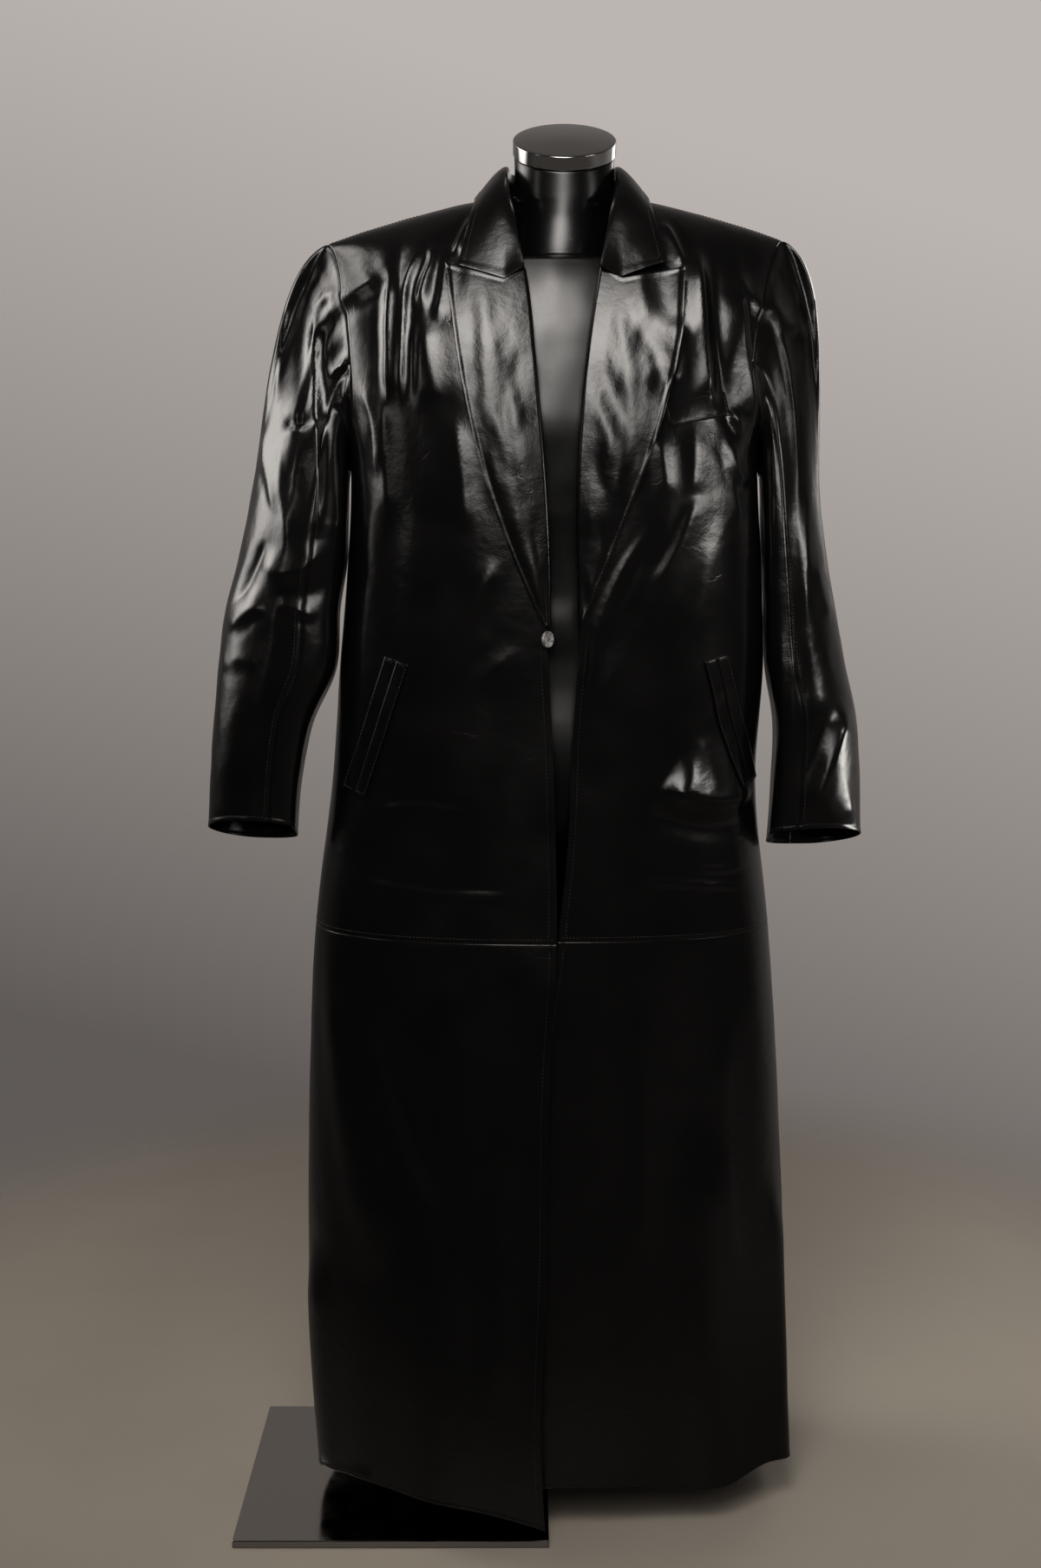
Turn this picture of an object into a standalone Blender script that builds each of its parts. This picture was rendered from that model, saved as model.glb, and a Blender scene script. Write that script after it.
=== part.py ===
"""A long leather coat on a limbless torso form, with its pole and base plate.

Metres, +Z up, the front faces -Y. The origin is on the floor, on the pole's axis.
Right and left are the wearer's; the wearer's right is -X.
"""

import math

import bmesh
import bpy
import numpy as np

# Leather and seams
WALL = 0.0018
SEAM = 0.0003
BODY_X = 0.090
NECK_SHIFT = 0.0045

# Levels of the coat's body
UNDERARM = 1.215
SHOULDER = 1.515
CROSS_SEAM = 0.692
SHOULDER_DROP = 0.048
NECK_POINT = 0.078
TIP = 0.262
SEAM_FORWARD = 0.018
BACK_NECK_DEPTH = 0.078
ROUNDNESS = 2.5

# Stand
PLATE_SIDE = 0.360
PLATE_THICK = 0.009
PLATE_CENTRE = (-0.1025, -0.005)
POLE_RADIUS = 0.0125
POLE_TOP = 0.960
FORM_WALL = 0.0035
FORM_BOTTOM = 0.800
CAP_RADIUS = 0.0580
CAP_BAND = 0.0150
CAP_DOME = 0.0030
NECK_TOP = 1.5655
NECK_LEAN = math.radians(28.0)

# Horizontal sections of the body
SECTIONS = np.array([
    # height, right, left, right front, left front, back
    (0.000, 0.284, 0.282, 0.200, 0.146, 0.222),
    (0.220, 0.297, 0.272, 0.186, 0.144, 0.208),
    (0.450, 0.296, 0.262, 0.172, 0.144, 0.190),
    (0.690, 0.285, 0.245, 0.160, 0.146, 0.170),
    (0.850, 0.265, 0.228, 0.152, 0.144, 0.158),
    (1.000, 0.253, 0.235, 0.150, 0.145, 0.150),
    (1.100, 0.244, 0.232, 0.151, 0.148, 0.150),
    (1.215, 0.239, 0.226, 0.150, 0.150, 0.152),
    (1.360, 0.251, 0.238, 0.150, 0.150, 0.152),
    (1.515, 0.264, 0.252, 0.150, 0.150, 0.152),
])

# Front edges and roll lines: how far from the middle the panel begins
EDGE_RIGHT = np.array([
    # height, x
    (0.000, -0.015), (0.090, -0.021), (0.330, -0.016), (0.530, -0.013), (0.690, -0.005),
    (0.830, -0.007), (0.920, -0.010), (1.010, -0.015), (1.120, -0.017), (1.194, -0.021),
    (1.323, -0.032), (1.420, -0.042), (1.470, -0.052), (1.500, -0.066), (1.515, -0.078),
])
EDGE_LEFT = np.array([
    # height, x
    (0.000, -0.032), (0.330, -0.030), (0.530, -0.024), (0.690, -0.004), (0.810, 0.008),
    (0.920, 0.012), (1.044, 0.021), (1.194, 0.020), (1.295, 0.026), (1.423, 0.044),
    (1.470, 0.053), (1.500, 0.066), (1.515, 0.078),
])

# Armholes: how far round from the middle of the front or of the back the panel ends
ARMHOLE_RIGHT = np.array([
    # climb, front, back
    (1.215, 90.0, 90.0), (1.235, 75.0, 76.0), (1.270, 66.0, 67.0), (1.320, 63.0, 64.0),
    (1.390, 65.0, 65.5), (1.460, 71.0, 71.0), (1.515, 79.0, 79.0),
])
ARMHOLE_LEFT = np.array([
    # climb, front, back
    (1.215, 90.0, 90.0), (1.235, 73.0, 76.0), (1.270, 61.0, 66.0), (1.320, 58.0, 63.0),
    (1.390, 62.0, 65.0), (1.460, 70.0, 71.0), (1.515, 79.0, 79.0),
])

# Hem: height of the lower edge round the body, from the middle of the front
HEM_RIGHT = np.array([
    # degrees, height
    (0.0, 0.022), (12.0, 0.040), (30.0, 0.058), (50.0, 0.062), (70.0, 0.054), (90.0, 0.052),
])
HEM_LEFT = np.array([
    # degrees, height
    (0.0, 0.052), (20.0, 0.052), (38.0, 0.046), (55.0, 0.056), (72.0, 0.050), (90.0, 0.058),
])
HEM_BACK = np.array([
    # degrees, height
    (-90.0, 0.052), (-45.0, 0.046), (0.0, 0.050), (45.0, 0.046), (90.0, 0.058),
])

# Folds: a crest that runs from one place to another, given as degrees round and height
FOLDS = {
    "right": (
        # from round, from height, to round, to height, half width, rise
        (-43.0, 1.465, -47.0, 1.270, 4.0, 0.0100),
        (-33.5, 1.490, -37.0, 1.265, 4.0, 0.0110),
        (-60.0, 0.700, -38.0, 0.280, 7.0, 0.0080),
        (-26.0, 0.400, -28.0, 0.060, 8.0, 0.0100),
        (-66.0, 0.330, -64.0, 0.055, 8.0, 0.0090),
    ),
    "left": (
        # from round, from height, to round, to height, half width, rise
        (34.0, 1.490, 36.0, 1.300, 4.0, 0.0110),
        (46.0, 1.465, 48.0, 1.310, 4.0, 0.0090),
        (34.0, 1.130, 6.0, 0.930, 4.0, 0.0085),
        (34.0, 0.500, 38.0, 0.050, 7.0, 0.0090),
        (66.0, 0.420, 66.0, 0.055, 7.0, 0.0080),
    ),
    "back": (
        # from round, from height, to round, to height, half width, rise
        (-38.0, 1.430, -46.0, 1.250, 4.0, 0.0080),
        (38.0, 1.430, 46.0, 1.250, 4.0, 0.0080),
        (-50.0, 0.640, -44.0, 0.050, 8.0, 0.0110),
        (6.0, 0.600, 4.0, 0.050, 8.0, 0.0100),
        (52.0, 0.620, 46.0, 0.050, 8.0, 0.0110),
    ),
}

# Sleeves below the armhole
SLEEVE_RIGHT = np.array([
    # height, outer, inner, middle y, half depth
    (0.800, -0.411, -0.304, -0.020, 0.046),
    (0.870, -0.408, -0.297, -0.016, 0.054),
    (0.930, -0.404, -0.287, -0.012, 0.062),
    (0.985, -0.399, -0.264, -0.008, 0.070),
    (1.060, -0.389, -0.257, -0.002, 0.076),
    (1.150, -0.367, -0.251, 0.004, 0.082),
])
SLEEVE_LEFT = np.array([
    # height, outer, inner, middle y, half depth
    (0.792, 0.353, 0.241, -0.020, 0.050),
    (0.870, 0.351, 0.246, -0.016, 0.058),
    (0.930, 0.346, 0.249, -0.010, 0.068),
    (0.985, 0.334, 0.251, -0.004, 0.080),
    (1.060, 0.319, 0.246, 0.000, 0.092),
    (1.150, 0.304, 0.241, 0.004, 0.098),
])
CUFF_TILT = 0.010

# Folds of the sleeves: degrees round from the top line, towards the front
SLEEVE_FOLDS = {
    "right": (
        # from round, from height, to round, to height, half width, rise
        (100.0, 1.330, 96.0, 1.030, 14.0, 0.0060),
        (30.0, 0.985, 105.0, 0.955, 14.0, 0.0070),
        (40.0, 1.130, 110.0, 1.110, 12.0, 0.0050),
        (-60.0, 1.060, -120.0, 1.000, 14.0, 0.0060),
    ),
    "left": (
        # from round, from height, to round, to height, half width, rise
        (60.0, 1.300, 62.0, 1.120, 14.0, 0.0050),
        (20.0, 1.105, 90.0, 1.050, 14.0, 0.0070),
        (40.0, 0.960, 110.0, 0.935, 12.0, 0.0060),
        (-60.0, 1.060, -120.0, 1.000, 14.0, 0.0060),
    ),
}

# Collar, from the middle of the back to its front end; x is for the left side
COLLAR = np.array([
    # share, seam x y z, roll x y z, edge x y z
    (0.00, 0.0000, 0.0760, 1.4745, 0.0000, 0.0700, 1.5400, 0.0000, 0.0985, 1.4550),
    (0.20, 0.0355, 0.0672, 1.4842, 0.0360, 0.0610, 1.5430, 0.0620, 0.0865, 1.4700),
    (0.38, 0.0620, 0.0440, 1.5040, 0.0560, 0.0370, 1.5500, 0.0950, 0.0490, 1.5030),
    (0.55, 0.0750, 0.0060, 1.5168, 0.0610, 0.0030, 1.5520, 0.0970, 0.0060, 1.5180),
    (0.72, 0.0625, -0.0405, 1.5045, 0.0590, -0.0410, 1.5280, 0.0980, -0.0500, 1.5025),
    (0.87, 0.0500, -0.0745, 1.4770, 0.0510, -0.0815, 1.4850, 0.1040, -0.0785, 1.4765),
    (1.00, 0.0405, -0.1090, 1.4285, 0.0430, -0.1150, 1.4290, 0.1133, -0.1015, 1.4360),
])
NOTCH_DIP = 0.016
COLLAR_X = 0.0035

# Lapels: height of the row, its outer edge
LAPEL_RIGHT = np.array([
    # share down, roll height, outer x, outer height
    (0.00, 1.4278, -0.124, 1.429), (0.22, 1.340, -0.113, 1.341), (0.45, 1.250, -0.096, 1.249),
    (0.68, 1.160, -0.069, 1.158), (0.88, 1.084, -0.038, 1.080), (1.00, 1.043, -0.020, 1.042),
])
LAPEL_LEFT = np.array([
    # share down, roll height, outer x, outer height
    (0.00, 1.431, 0.128, 1.422), (0.22, 1.340, 0.121, 1.341), (0.45, 1.250, 0.100, 1.250),
    (0.68, 1.165, 0.070, 1.162), (0.88, 1.090, 0.040, 1.085), (1.00, 1.050, 0.024, 1.048),
])
GORGE_DIP = 0.017

# Pockets: the slit's ends, and the width of one welt
CHEST_WELT = ((0.114, 1.270), (0.181, 1.283), 0.026)
POCKET_RIGHT = ((-0.181, 1.003), (-0.231, 0.853))
POCKET_LEFT = ((0.171, 1.005), (0.210, 0.862))
POCKET_WELT = 0.0135

BUTTON_PLACE = (-0.0166, -0.1528, 1.0285)
BUTTON_RADIUS = 0.0088
BUTTON_THICK = 0.0032
BUTTON_TURN = math.radians(50.0)

# Horizontal sections of the form
FORM = np.array([
    # height, half width, front, back, roundness
    (0.8000, 0.1500, 0.0980, 0.1050, 2.20),
    (0.8300, 0.1660, 0.1100, 0.1200, 2.20),
    (0.9000, 0.1720, 0.1160, 0.1240, 2.20),
    (0.9800, 0.1620, 0.1100, 0.1160, 2.20),
    (1.0800, 0.1500, 0.1080, 0.1080, 2.20),
    (1.1800, 0.1630, 0.1160, 0.1160, 2.20),
    (1.2800, 0.1800, 0.1210, 0.1220, 2.20),
    (1.3600, 0.1900, 0.1130, 0.1180, 2.10),
    (1.4200, 0.1960, 0.0960, 0.1020, 1.90),
    (1.4550, 0.1940, 0.0800, 0.0780, 1.60),
    (1.4780, 0.1870, 0.0700, 0.0680, 1.35),
    (1.4890, 0.1770, 0.0660, 0.0640, 1.15),
    (1.4955, 0.1600, 0.0640, 0.0610, 1.02),
    (1.5006, 0.1400, 0.0625, 0.0590, 1.00),
    (1.5045, 0.1170, 0.0615, 0.0580, 1.00),
    (1.5065, 0.0980, 0.0605, 0.0575, 1.02),
    (1.5085, 0.0770, 0.0600, 0.0570, 1.15),
    (1.5120, 0.0640, 0.0595, 0.0570, 1.50),
    (1.5200, 0.0600, 0.0585, 0.0580, 2.00),
    (1.5360, 0.0568, 0.0555, 0.0545, 2.00),
    (1.5655, 0.0565, 0.0500, 0.0500, 2.00),
])


def linear(code):
    """A screen colour code as the linear colour that a material wants."""
    parts = [int(code[i:i + 2], 16) / 255 for i in (1, 3, 5)]
    return [p / 12.92 if p <= 0.04045 else ((p + 0.055) / 1.055) ** 2.4 for p in parts] + [1.0]


def material(name, code, roughness, metallic=0.0):
    """A plain finish."""
    made = bpy.data.materials.new(name)
    made.use_nodes = True
    shader = made.node_tree.nodes["Principled BSDF"]
    shader.inputs["Base Color"].default_value = linear(code)
    shader.inputs["Roughness"].default_value = roughness
    shader.inputs["Metallic"].default_value = metallic
    return made


def column(table, at, index=1):
    """One column of a table at the places asked for, as a smooth curve over the first column."""
    key, value = table[:, 0], table[:, index]
    slope = np.gradient(value, key)
    at = np.clip(at, key[0], key[-1])
    i = np.clip(np.searchsorted(key, at) - 1, 0, len(key) - 2)
    step = key[i + 1] - key[i]
    t = (at - key[i]) / step
    flat = value[i] * (1 + 2 * t) * (1 - t) ** 2 + value[i + 1] * t * t * (3 - 2 * t)
    return flat + step * (slope[i] * t * (1 - t) ** 2 + slope[i + 1] * t * t * (t - 1))


def fade(low, high, at):
    """0 below low, 1 above high, and a soft rise between."""
    t = np.clip((at - low) / (high - low), 0, 1)
    return t * t * (3 - 2 * t)


def half_width(angle, level):
    """Half width of the body on the side that the angle is on."""
    return np.where(angle < 0, column(SECTIONS, level, 1), column(SECTIONS, level, 2))


def drop(x, level):
    """How far the shoulder line falls from the neck point out to the tip."""
    out = np.clip((np.abs(x) - NECK_POINT) / (TIP - NECK_POINT), 0, None)
    return SHOULDER_DROP * out ** 1.3 * fade(UNDERARM, SHOULDER, level)


def skin(face, angle, climb):
    """A point of the body with no fold in it. Above the underarm the climb bends over the shoulder."""
    angle, climb = np.broadcast_arrays(np.asarray(angle, float), np.asarray(climb, float))
    bend = np.clip((climb - UNDERARM) / (SHOULDER - UNDERARM), 0, None) * math.pi / 2
    level = np.where(bend > 0, UNDERARM + (SHOULDER - UNDERARM) * np.sin(bend), climb)
    near = np.cos(bend)
    front = column(SECTIONS, level, 3 if face == "right" else 4)
    if face == "back":
        front = np.where(angle < 0, column(SECTIONS, level, 3), column(SECTIONS, level, 4))
        depth = np.where(near > 0, column(SECTIONS, level, 5), front)
    else:
        depth = -front
    reach = (np.abs(np.sin(angle)) ** ROUNDNESS + np.abs(np.cos(angle)) ** ROUNDNESS) ** (-1 / ROUNDNESS)
    x = half_width(angle, level) * np.sin(angle) * reach
    y = depth * near * np.cos(angle) * reach
    return np.stack([x, y, level - drop(x, level)], axis=-1)


def ridge(rows, around, height):
    """Rise of the folds in a table at places given as degrees round and height."""
    rise = np.zeros(np.broadcast(around, height).shape)
    for from_round, from_height, to_round, to_height, width, most in rows:
        t = (from_height - height) / (from_height - to_height)
        middle = from_round + (to_round - from_round) * np.clip(t, 0, 1)
        ends = fade(0, 0.3, t) * (1 if to_height < 0.07 else 1 - fade(0.7, 1.0, t))
        rise = np.maximum(rise, most * ends * np.exp(-((around - middle) / width) ** 2))
    return rise


def upright(near, step_u, step_v):
    """Unit normals from the points and the points a small step away both ways."""
    normal = np.cross(step_u - near, step_v - near)
    return normal / np.maximum(np.linalg.norm(normal, axis=-1, keepdims=True), 1e-12)


def body(face, angle, climb, lift=0.0):
    """A point of the coat's body, with its folds, moved out by the lift."""
    step = 1e-4
    near = skin(face, angle, climb)
    normal = upright(near, skin(face, angle + step, climb), skin(face, angle, climb + step))
    if face == "back":
        normal = -normal
    rise = ridge(FOLDS[face], np.degrees(angle), near[..., 2])
    return near + normal * (rise + lift)[..., None]


def angle_of(x, level):
    """The angle round the body at which a section passes x."""
    share = np.clip(np.abs(x) / half_width(x, level), 0, 1)
    return np.sign(x) * np.arctan2(share, (1 - share ** ROUNDNESS) ** (1 / ROUNDNESS))


def level_of(climb):
    """The height that a climb stands for, before the shoulder falls away."""
    bend = np.clip((climb - UNDERARM) / (SHOULDER - UNDERARM), 0, 1) * math.pi / 2
    return np.where(bend > 0, UNDERARM + (SHOULDER - UNDERARM) * np.sin(bend), climb)


def climb_of(level):
    """The climb that reaches a height."""
    share = np.clip((level - UNDERARM) / (SHOULDER - UNDERARM), 0, 1)
    return np.where(share > 0, UNDERARM + (SHOULDER - UNDERARM) * np.arcsin(share) * 2 / math.pi, level)


def on_front(face, x, height, lift):
    """A point on a front panel at a place seen from the front, moved out by the lift."""
    level = np.asarray(height, float)
    for _ in range(6):
        level = height + drop(x, level)
    return body(face, angle_of(x, level), climb_of(level), lift)


def side_of(face, climb):
    """The angle at which a panel ends: the side seam, and the armhole above it."""
    gap = SEAM / 2 / 0.15
    if face == "right":
        end = -np.radians(column(ARMHOLE_RIGHT, climb, 1))
    elif face == "left":
        end = np.radians(column(ARMHOLE_LEFT, climb, 1))
    elif face == "back right":
        end = -np.radians(column(ARMHOLE_RIGHT, climb, 2))
    else:
        end = np.radians(column(ARMHOLE_LEFT, climb, 2))
    end = np.where(climb <= UNDERARM, np.sign(end) * math.pi / 2, end)
    return end - np.sign(end) * gap


def edge_of(face, climb):
    """The angle at which a front panel begins: the front edge, and the roll line above it."""
    level = level_of(climb)
    return angle_of(column(EDGE_RIGHT if face == "right" else EDGE_LEFT, level), level)


def neck_share(side):
    """Where the neck point is on the way from the middle of the back to the shoulder tip."""
    tip = side_of("back right" if side < 0 else "back left", np.array(SHOULDER))
    return float(angle_of(np.array(side * NECK_POINT), np.array(SHOULDER)) / tip)


def wall(name, us, vs, place, finish):
    """A closed wall: a flat slab whose points are moved to place(u, v, depth), depth 0 outside and 1 inside."""
    us, vs = np.asarray(us), np.asarray(vs)
    mesh = bpy.data.meshes.new(name)
    slab = bmesh.new()
    bmesh.ops.create_grid(slab, x_segments=len(us) - 1, y_segments=len(vs) - 1, size=0.5)
    inside = bmesh.ops.extrude_face_region(slab, geom=slab.faces[:], use_keep_orig=True)
    for item in inside["geom"]:
        if isinstance(item, bmesh.types.BMVert):
            item.co.z = 1.0
    flat = np.array([vert.co[:] for vert in slab.verts])
    u = us[np.rint((flat[:, 0] + 0.5) * (len(us) - 1)).astype(int)]
    v = vs[np.rint((flat[:, 1] + 0.5) * (len(vs) - 1)).astype(int)]
    for vert, point in zip(slab.verts, place(u, v, flat[:, 2])):
        vert.co = (point[0] + BODY_X, point[1], point[2])
    bmesh.ops.recalc_face_normals(slab, faces=slab.faces[:])
    if slab.calc_volume(signed=True) < 0:
        bmesh.ops.reverse_faces(slab, faces=slab.faces[:])
    slab.to_mesh(mesh)
    slab.free()
    return keep(name, mesh, finish)


def keep(name, mesh, finish):
    """An object of the part, with its finish."""
    made = bpy.data.objects.new(name, mesh)
    mesh.materials.append(finish)
    part.objects.link(made)
    return made


def front_upper(face):
    """The place function of a front panel above the cross seam."""
    def place(u, v, depth):
        top = SHOULDER - SEAM_FORWARD * (1 - u) - SEAM * 1.2
        climb = np.where(v <= UNDERARM, v, UNDERARM + (v - UNDERARM) * (top - UNDERARM) / (SHOULDER - UNDERARM))
        climb = np.maximum(climb, CROSS_SEAM + SEAM / 2)
        angle = edge_of(face, climb) * (1 - u) + side_of(face, climb) * u
        return body(face, angle, climb, -WALL * depth)
    return place


def front_lower(face, hem):
    """The place function of a front panel below the cross seam; v runs from the hem to the seam."""
    def place(u, v, depth):
        climb = np.full(u.shape, CROSS_SEAM - SEAM / 2)
        for _ in range(2):
            angle = edge_of(face, climb) * (1 - u) + side_of(face, climb) * u
            low = column(hem, np.clip(np.abs(np.degrees(angle)), 0, 90))
            climb = low + (CROSS_SEAM - SEAM / 2 - low) * v
        angle = edge_of(face, climb) * (1 - u) + side_of(face, climb) * u
        return body(face, angle, climb, -WALL * depth)
    return place


def back_upper(u, v, depth):
    """The place function of the back above the cross seam; u runs -1 to 1 and it reaches over the shoulder."""
    neck = np.where(u < 0, neck_share(-1), neck_share(1))
    share = np.clip((np.abs(u) - neck) / (1 - neck), 0, 1)
    inside = np.clip(np.abs(u) / neck, 0, 1)
    hollow = np.arccos(np.clip(BACK_NECK_DEPTH / 0.152 * np.sqrt(1 - inside ** 2), 0, 1)) * 2 / math.pi
    neckline = UNDERARM + (SHOULDER - UNDERARM) * hollow + SEAM_FORWARD * inside ** 6
    top = np.where(inside < 1, neckline, SHOULDER + SEAM_FORWARD * (1 - share) - SEAM * 1.2)
    climb = np.where(v <= UNDERARM, v, UNDERARM + (v - UNDERARM) * (top - UNDERARM) / (SHOULDER - UNDERARM))
    climb = np.maximum(climb, CROSS_SEAM + SEAM / 2)
    angle = np.where(u < 0, -side_of("back right", climb), side_of("back left", climb)) * u
    return body("back", angle, climb, -WALL * depth)


def back_lower(u, v, depth):
    """The place function of the back below the cross seam."""
    side = (math.pi / 2 - SEAM / 2 / 0.15) * (2 * u - 1)
    low = column(HEM_BACK, np.degrees(side))
    return body("back", side, low + (CROSS_SEAM - SEAM / 2 - low) * v, -WALL * depth)


def armhole(face, levels):
    """The armhole's edge from the shoulder tip down the front and up the back, and the way out of it."""
    points, ways = [], []
    down = levels[::-1]
    for part_face, side, climbs in ((face, face, down[:-1]), ("back", "back " + face, levels[:-1])):
        end = side_of(side, climbs)
        end = np.where(climbs <= UNDERARM, np.sign(end) * math.pi / 2, end)
        at = body(part_face, end, climbs)
        step = 2e-3
        along = body(part_face, end, np.clip(climbs + step, UNDERARM, SHOULDER)) - body(
            part_face, end, np.clip(climbs - step, UNDERARM, SHOULDER))
        turn = side_of(side, np.clip(climbs + step, UNDERARM, SHOULDER)) - side_of(
            side, np.clip(climbs - step, UNDERARM, SHOULDER))
        edge = along + (body(part_face, end + turn, climbs) - at)
        out = upright(at, body(part_face, end + 1e-4, climbs), body(part_face, end, climbs + 1e-4))
        if part_face == "back":
            out = -out
        way = np.cross(edge, out)
        way /= np.maximum(np.linalg.norm(way, axis=-1, keepdims=True), 1e-12)
        inward = body(part_face, end * 0.97, climbs) - at
        way *= -np.sign((way * inward).sum(-1, keepdims=True))
        points.append(at)
        ways.append(way)
    points, ways = np.concatenate(points), np.concatenate(ways)
    half = len(points) // 2
    ways[half] = (0, 0, 1)
    ways[0] = (math.copysign(0.97, points[0, 0]), 0, -0.24)
    return points, ways


def sleeve(face, levels):
    """The place function of a sleeve; u counts the armhole's points, v runs 0 to 1 over the cap and on to 2."""
    table = SLEEVE_RIGHT if face == "right" else SLEEVE_LEFT
    ring, ways = armhole(face, levels)
    count = len(ring)
    top, bottom = table[-1, 0], table[0, 0]

    def free(turn, level):
        outer, inner = column(table, level, 1), column(table, level, 2)
        middle, depth = column(table, level, 3), column(table, level, 4)
        across = (outer - inner) / 2 * np.cos(turn)
        tilt = CUFF_TILT * fade(top, bottom, level) * np.sin(turn)
        return np.stack([(outer + inner) / 2 + across, middle - depth * np.sin(turn), level + tilt], axis=-1)

    def plain(u, v):
        i = np.mod(np.floor(u).astype(int), count)
        part_way = (u - np.floor(u))[..., None]
        start = ring[i] * (1 - part_way) + ring[(i + 1) % count] * part_way
        away = ways[i] * (1 - part_way) + ways[(i + 1) % count] * part_way
        turn = u * 2 * math.pi / count
        level = top + (bottom - top) * np.clip(v - 1, 0, 1)
        below = free(turn, level)
        t = np.clip(v, 0, 1)[..., None]
        lean = free(turn, np.full(u.shape, top - 0.01)) - free(turn, np.full(u.shape, top))
        reach = np.linalg.norm(below - start, axis=-1, keepdims=True)
        begin = away * np.clip(reach * 0.9, 0.03, 0.22)
        finish = lean / 0.01 * reach * 0.8
        start = start + away * SEAM * 2
        cap = (start * (1 + 2 * t) * (1 - t) ** 2 + below * t * t * (3 - 2 * t)
               + begin * t * (1 - t) ** 2 + finish * t * t * (t - 1))
        return np.where(v[..., None] <= 1, cap, below)

    def place(u, v, depth):
        step = 1e-3
        near = plain(u, v)
        ahead = plain(u + 0.5, v)
        behind = plain(u - 0.5, v)
        down = plain(u, np.minimum(v + step, 2.0))
        up = plain(u, np.maximum(v - step, 0.0))
        normal = np.cross(ahead - behind, up - down)
        if face == "left":
            normal = -normal
        normal /= np.maximum(np.linalg.norm(normal, axis=-1, keepdims=True), 1e-12)
        turn = np.degrees(np.mod(u * 2 * math.pi / count + math.pi, 2 * math.pi) - math.pi)
        rise = ridge(SLEEVE_FOLDS[face], turn, near[..., 2]) * fade(0.15, 0.5, v)
        return near + normal * (rise - WALL * depth)[..., None]
    return place


def lapel(face, table):
    """The place function of a lapel; u runs from under the roll out to the edge, v from the top down."""
    sign = -1 if face == "right" else 1

    def place(u, v, depth):
        roll_z = column(table, v, 1)
        out_x, out_z = column(table, v, 2), column(table, v, 3)
        roll_x = column(EDGE_RIGHT if face == "right" else EDGE_LEFT, roll_z)
        width = np.abs(out_x - roll_x)
        tight = 0.0012 + WALL + WALL / 2
        loop = np.clip(u / 0.3, 0, 1) * math.pi
        radius = np.where(depth > 0.5, tight - WALL, tight)
        share = np.clip((u - 0.3) / 0.7, 0, 1)
        along = np.where(u < 0.3, -radius * np.sin(loop) - 0.0004, share * width)
        puff = 0.0035 * np.sin(math.pi * share) ** 2 * np.clip(width / 0.05, 0, 1)
        lift = np.where(u < 0.3, -radius * np.cos(loop) - WALL / 2, radius - WALL / 2 + puff)
        dip = GORGE_DIP * np.exp(-((share - 0.27) / 0.2) ** 2) * np.clip(1 - v / 0.22, 0, 1)
        height = roll_z + (out_z - roll_z) * share - dip
        return on_front(face, roll_x + sign * along, height, lift)
    return place


def collar(u, v, depth):
    """The place function of the collar; u runs from the right end to the left, v from the seam over the roll."""
    share, sign = np.abs(2 * u - 1), np.sign(2 * u - 1)
    seam = np.stack([column(COLLAR, share, i) for i in (1, 2, 3)], axis=-1)
    roll = np.stack([column(COLLAR, share, i) for i in (4, 5, 6)], axis=-1)
    edge = np.stack([column(COLLAR, share, i) for i in (7, 8, 9)], axis=-1)
    v = v[..., None]
    stand = np.clip(v / 0.4, 0, 1)
    fall = np.clip((v - 0.4) / 0.6, 0, 1)
    up = np.array([0, 0, 1.0])
    first = seam * (1 - stand) ** 2 + 2 * stand * (1 - stand) * (roll * 0.75 + seam * 0.25) + roll * stand ** 2
    ease = np.linalg.norm(edge - roll, axis=-1, keepdims=True)
    bow = roll + (edge - roll) * 0.22 + up * ease * 0.22
    second = roll * (1 - fall) ** 2 + 2 * fall * (1 - fall) * bow + edge * fall ** 2
    dip = NOTCH_DIP * np.exp(-((fall - 0.33) / 0.2) ** 2) * np.clip((share[..., None] - 0.86) / 0.14, 0, 1) ** 2
    point = np.where(v < 0.4, first, second) - up * dip
    point[..., 0] = point[..., 0] * sign + COLLAR_X * (1 - share)
    return point


def thick_collar(u, v, depth):
    """The collar's wall, thickened to the inside of its fold."""
    step = 2e-3
    a, b = collar(np.clip(u - step, 0, 1), v, depth), collar(np.clip(u + step, 0, 1), v, depth)
    c, d = collar(u, np.clip(v - step, 0, 1), depth), collar(u, np.clip(v + step, 0, 1), depth)
    normal = np.cross(b - a, d - c)
    normal /= np.maximum(np.linalg.norm(normal, axis=-1, keepdims=True), 1e-12)
    return collar(u, v, depth) - normal * (WALL * depth)[..., None]


def welt(face, start, end, offset, width, low=0.0015, high=0.0033):
    """The place function of a welt along a slit; u runs along it and v across it."""
    start, end = np.array(start), np.array(end)
    along = (end - start) / np.linalg.norm(end - start)
    across = np.array([along[1], -along[0]])

    def place(u, v, depth):
        at = start + (end - start) * u[:, None] + across * (offset + width * (v - 0.5))[:, None]
        return on_front(face, at[:, 0], at[:, 1], np.where(depth > 0.5, low, high))
    return place


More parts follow.
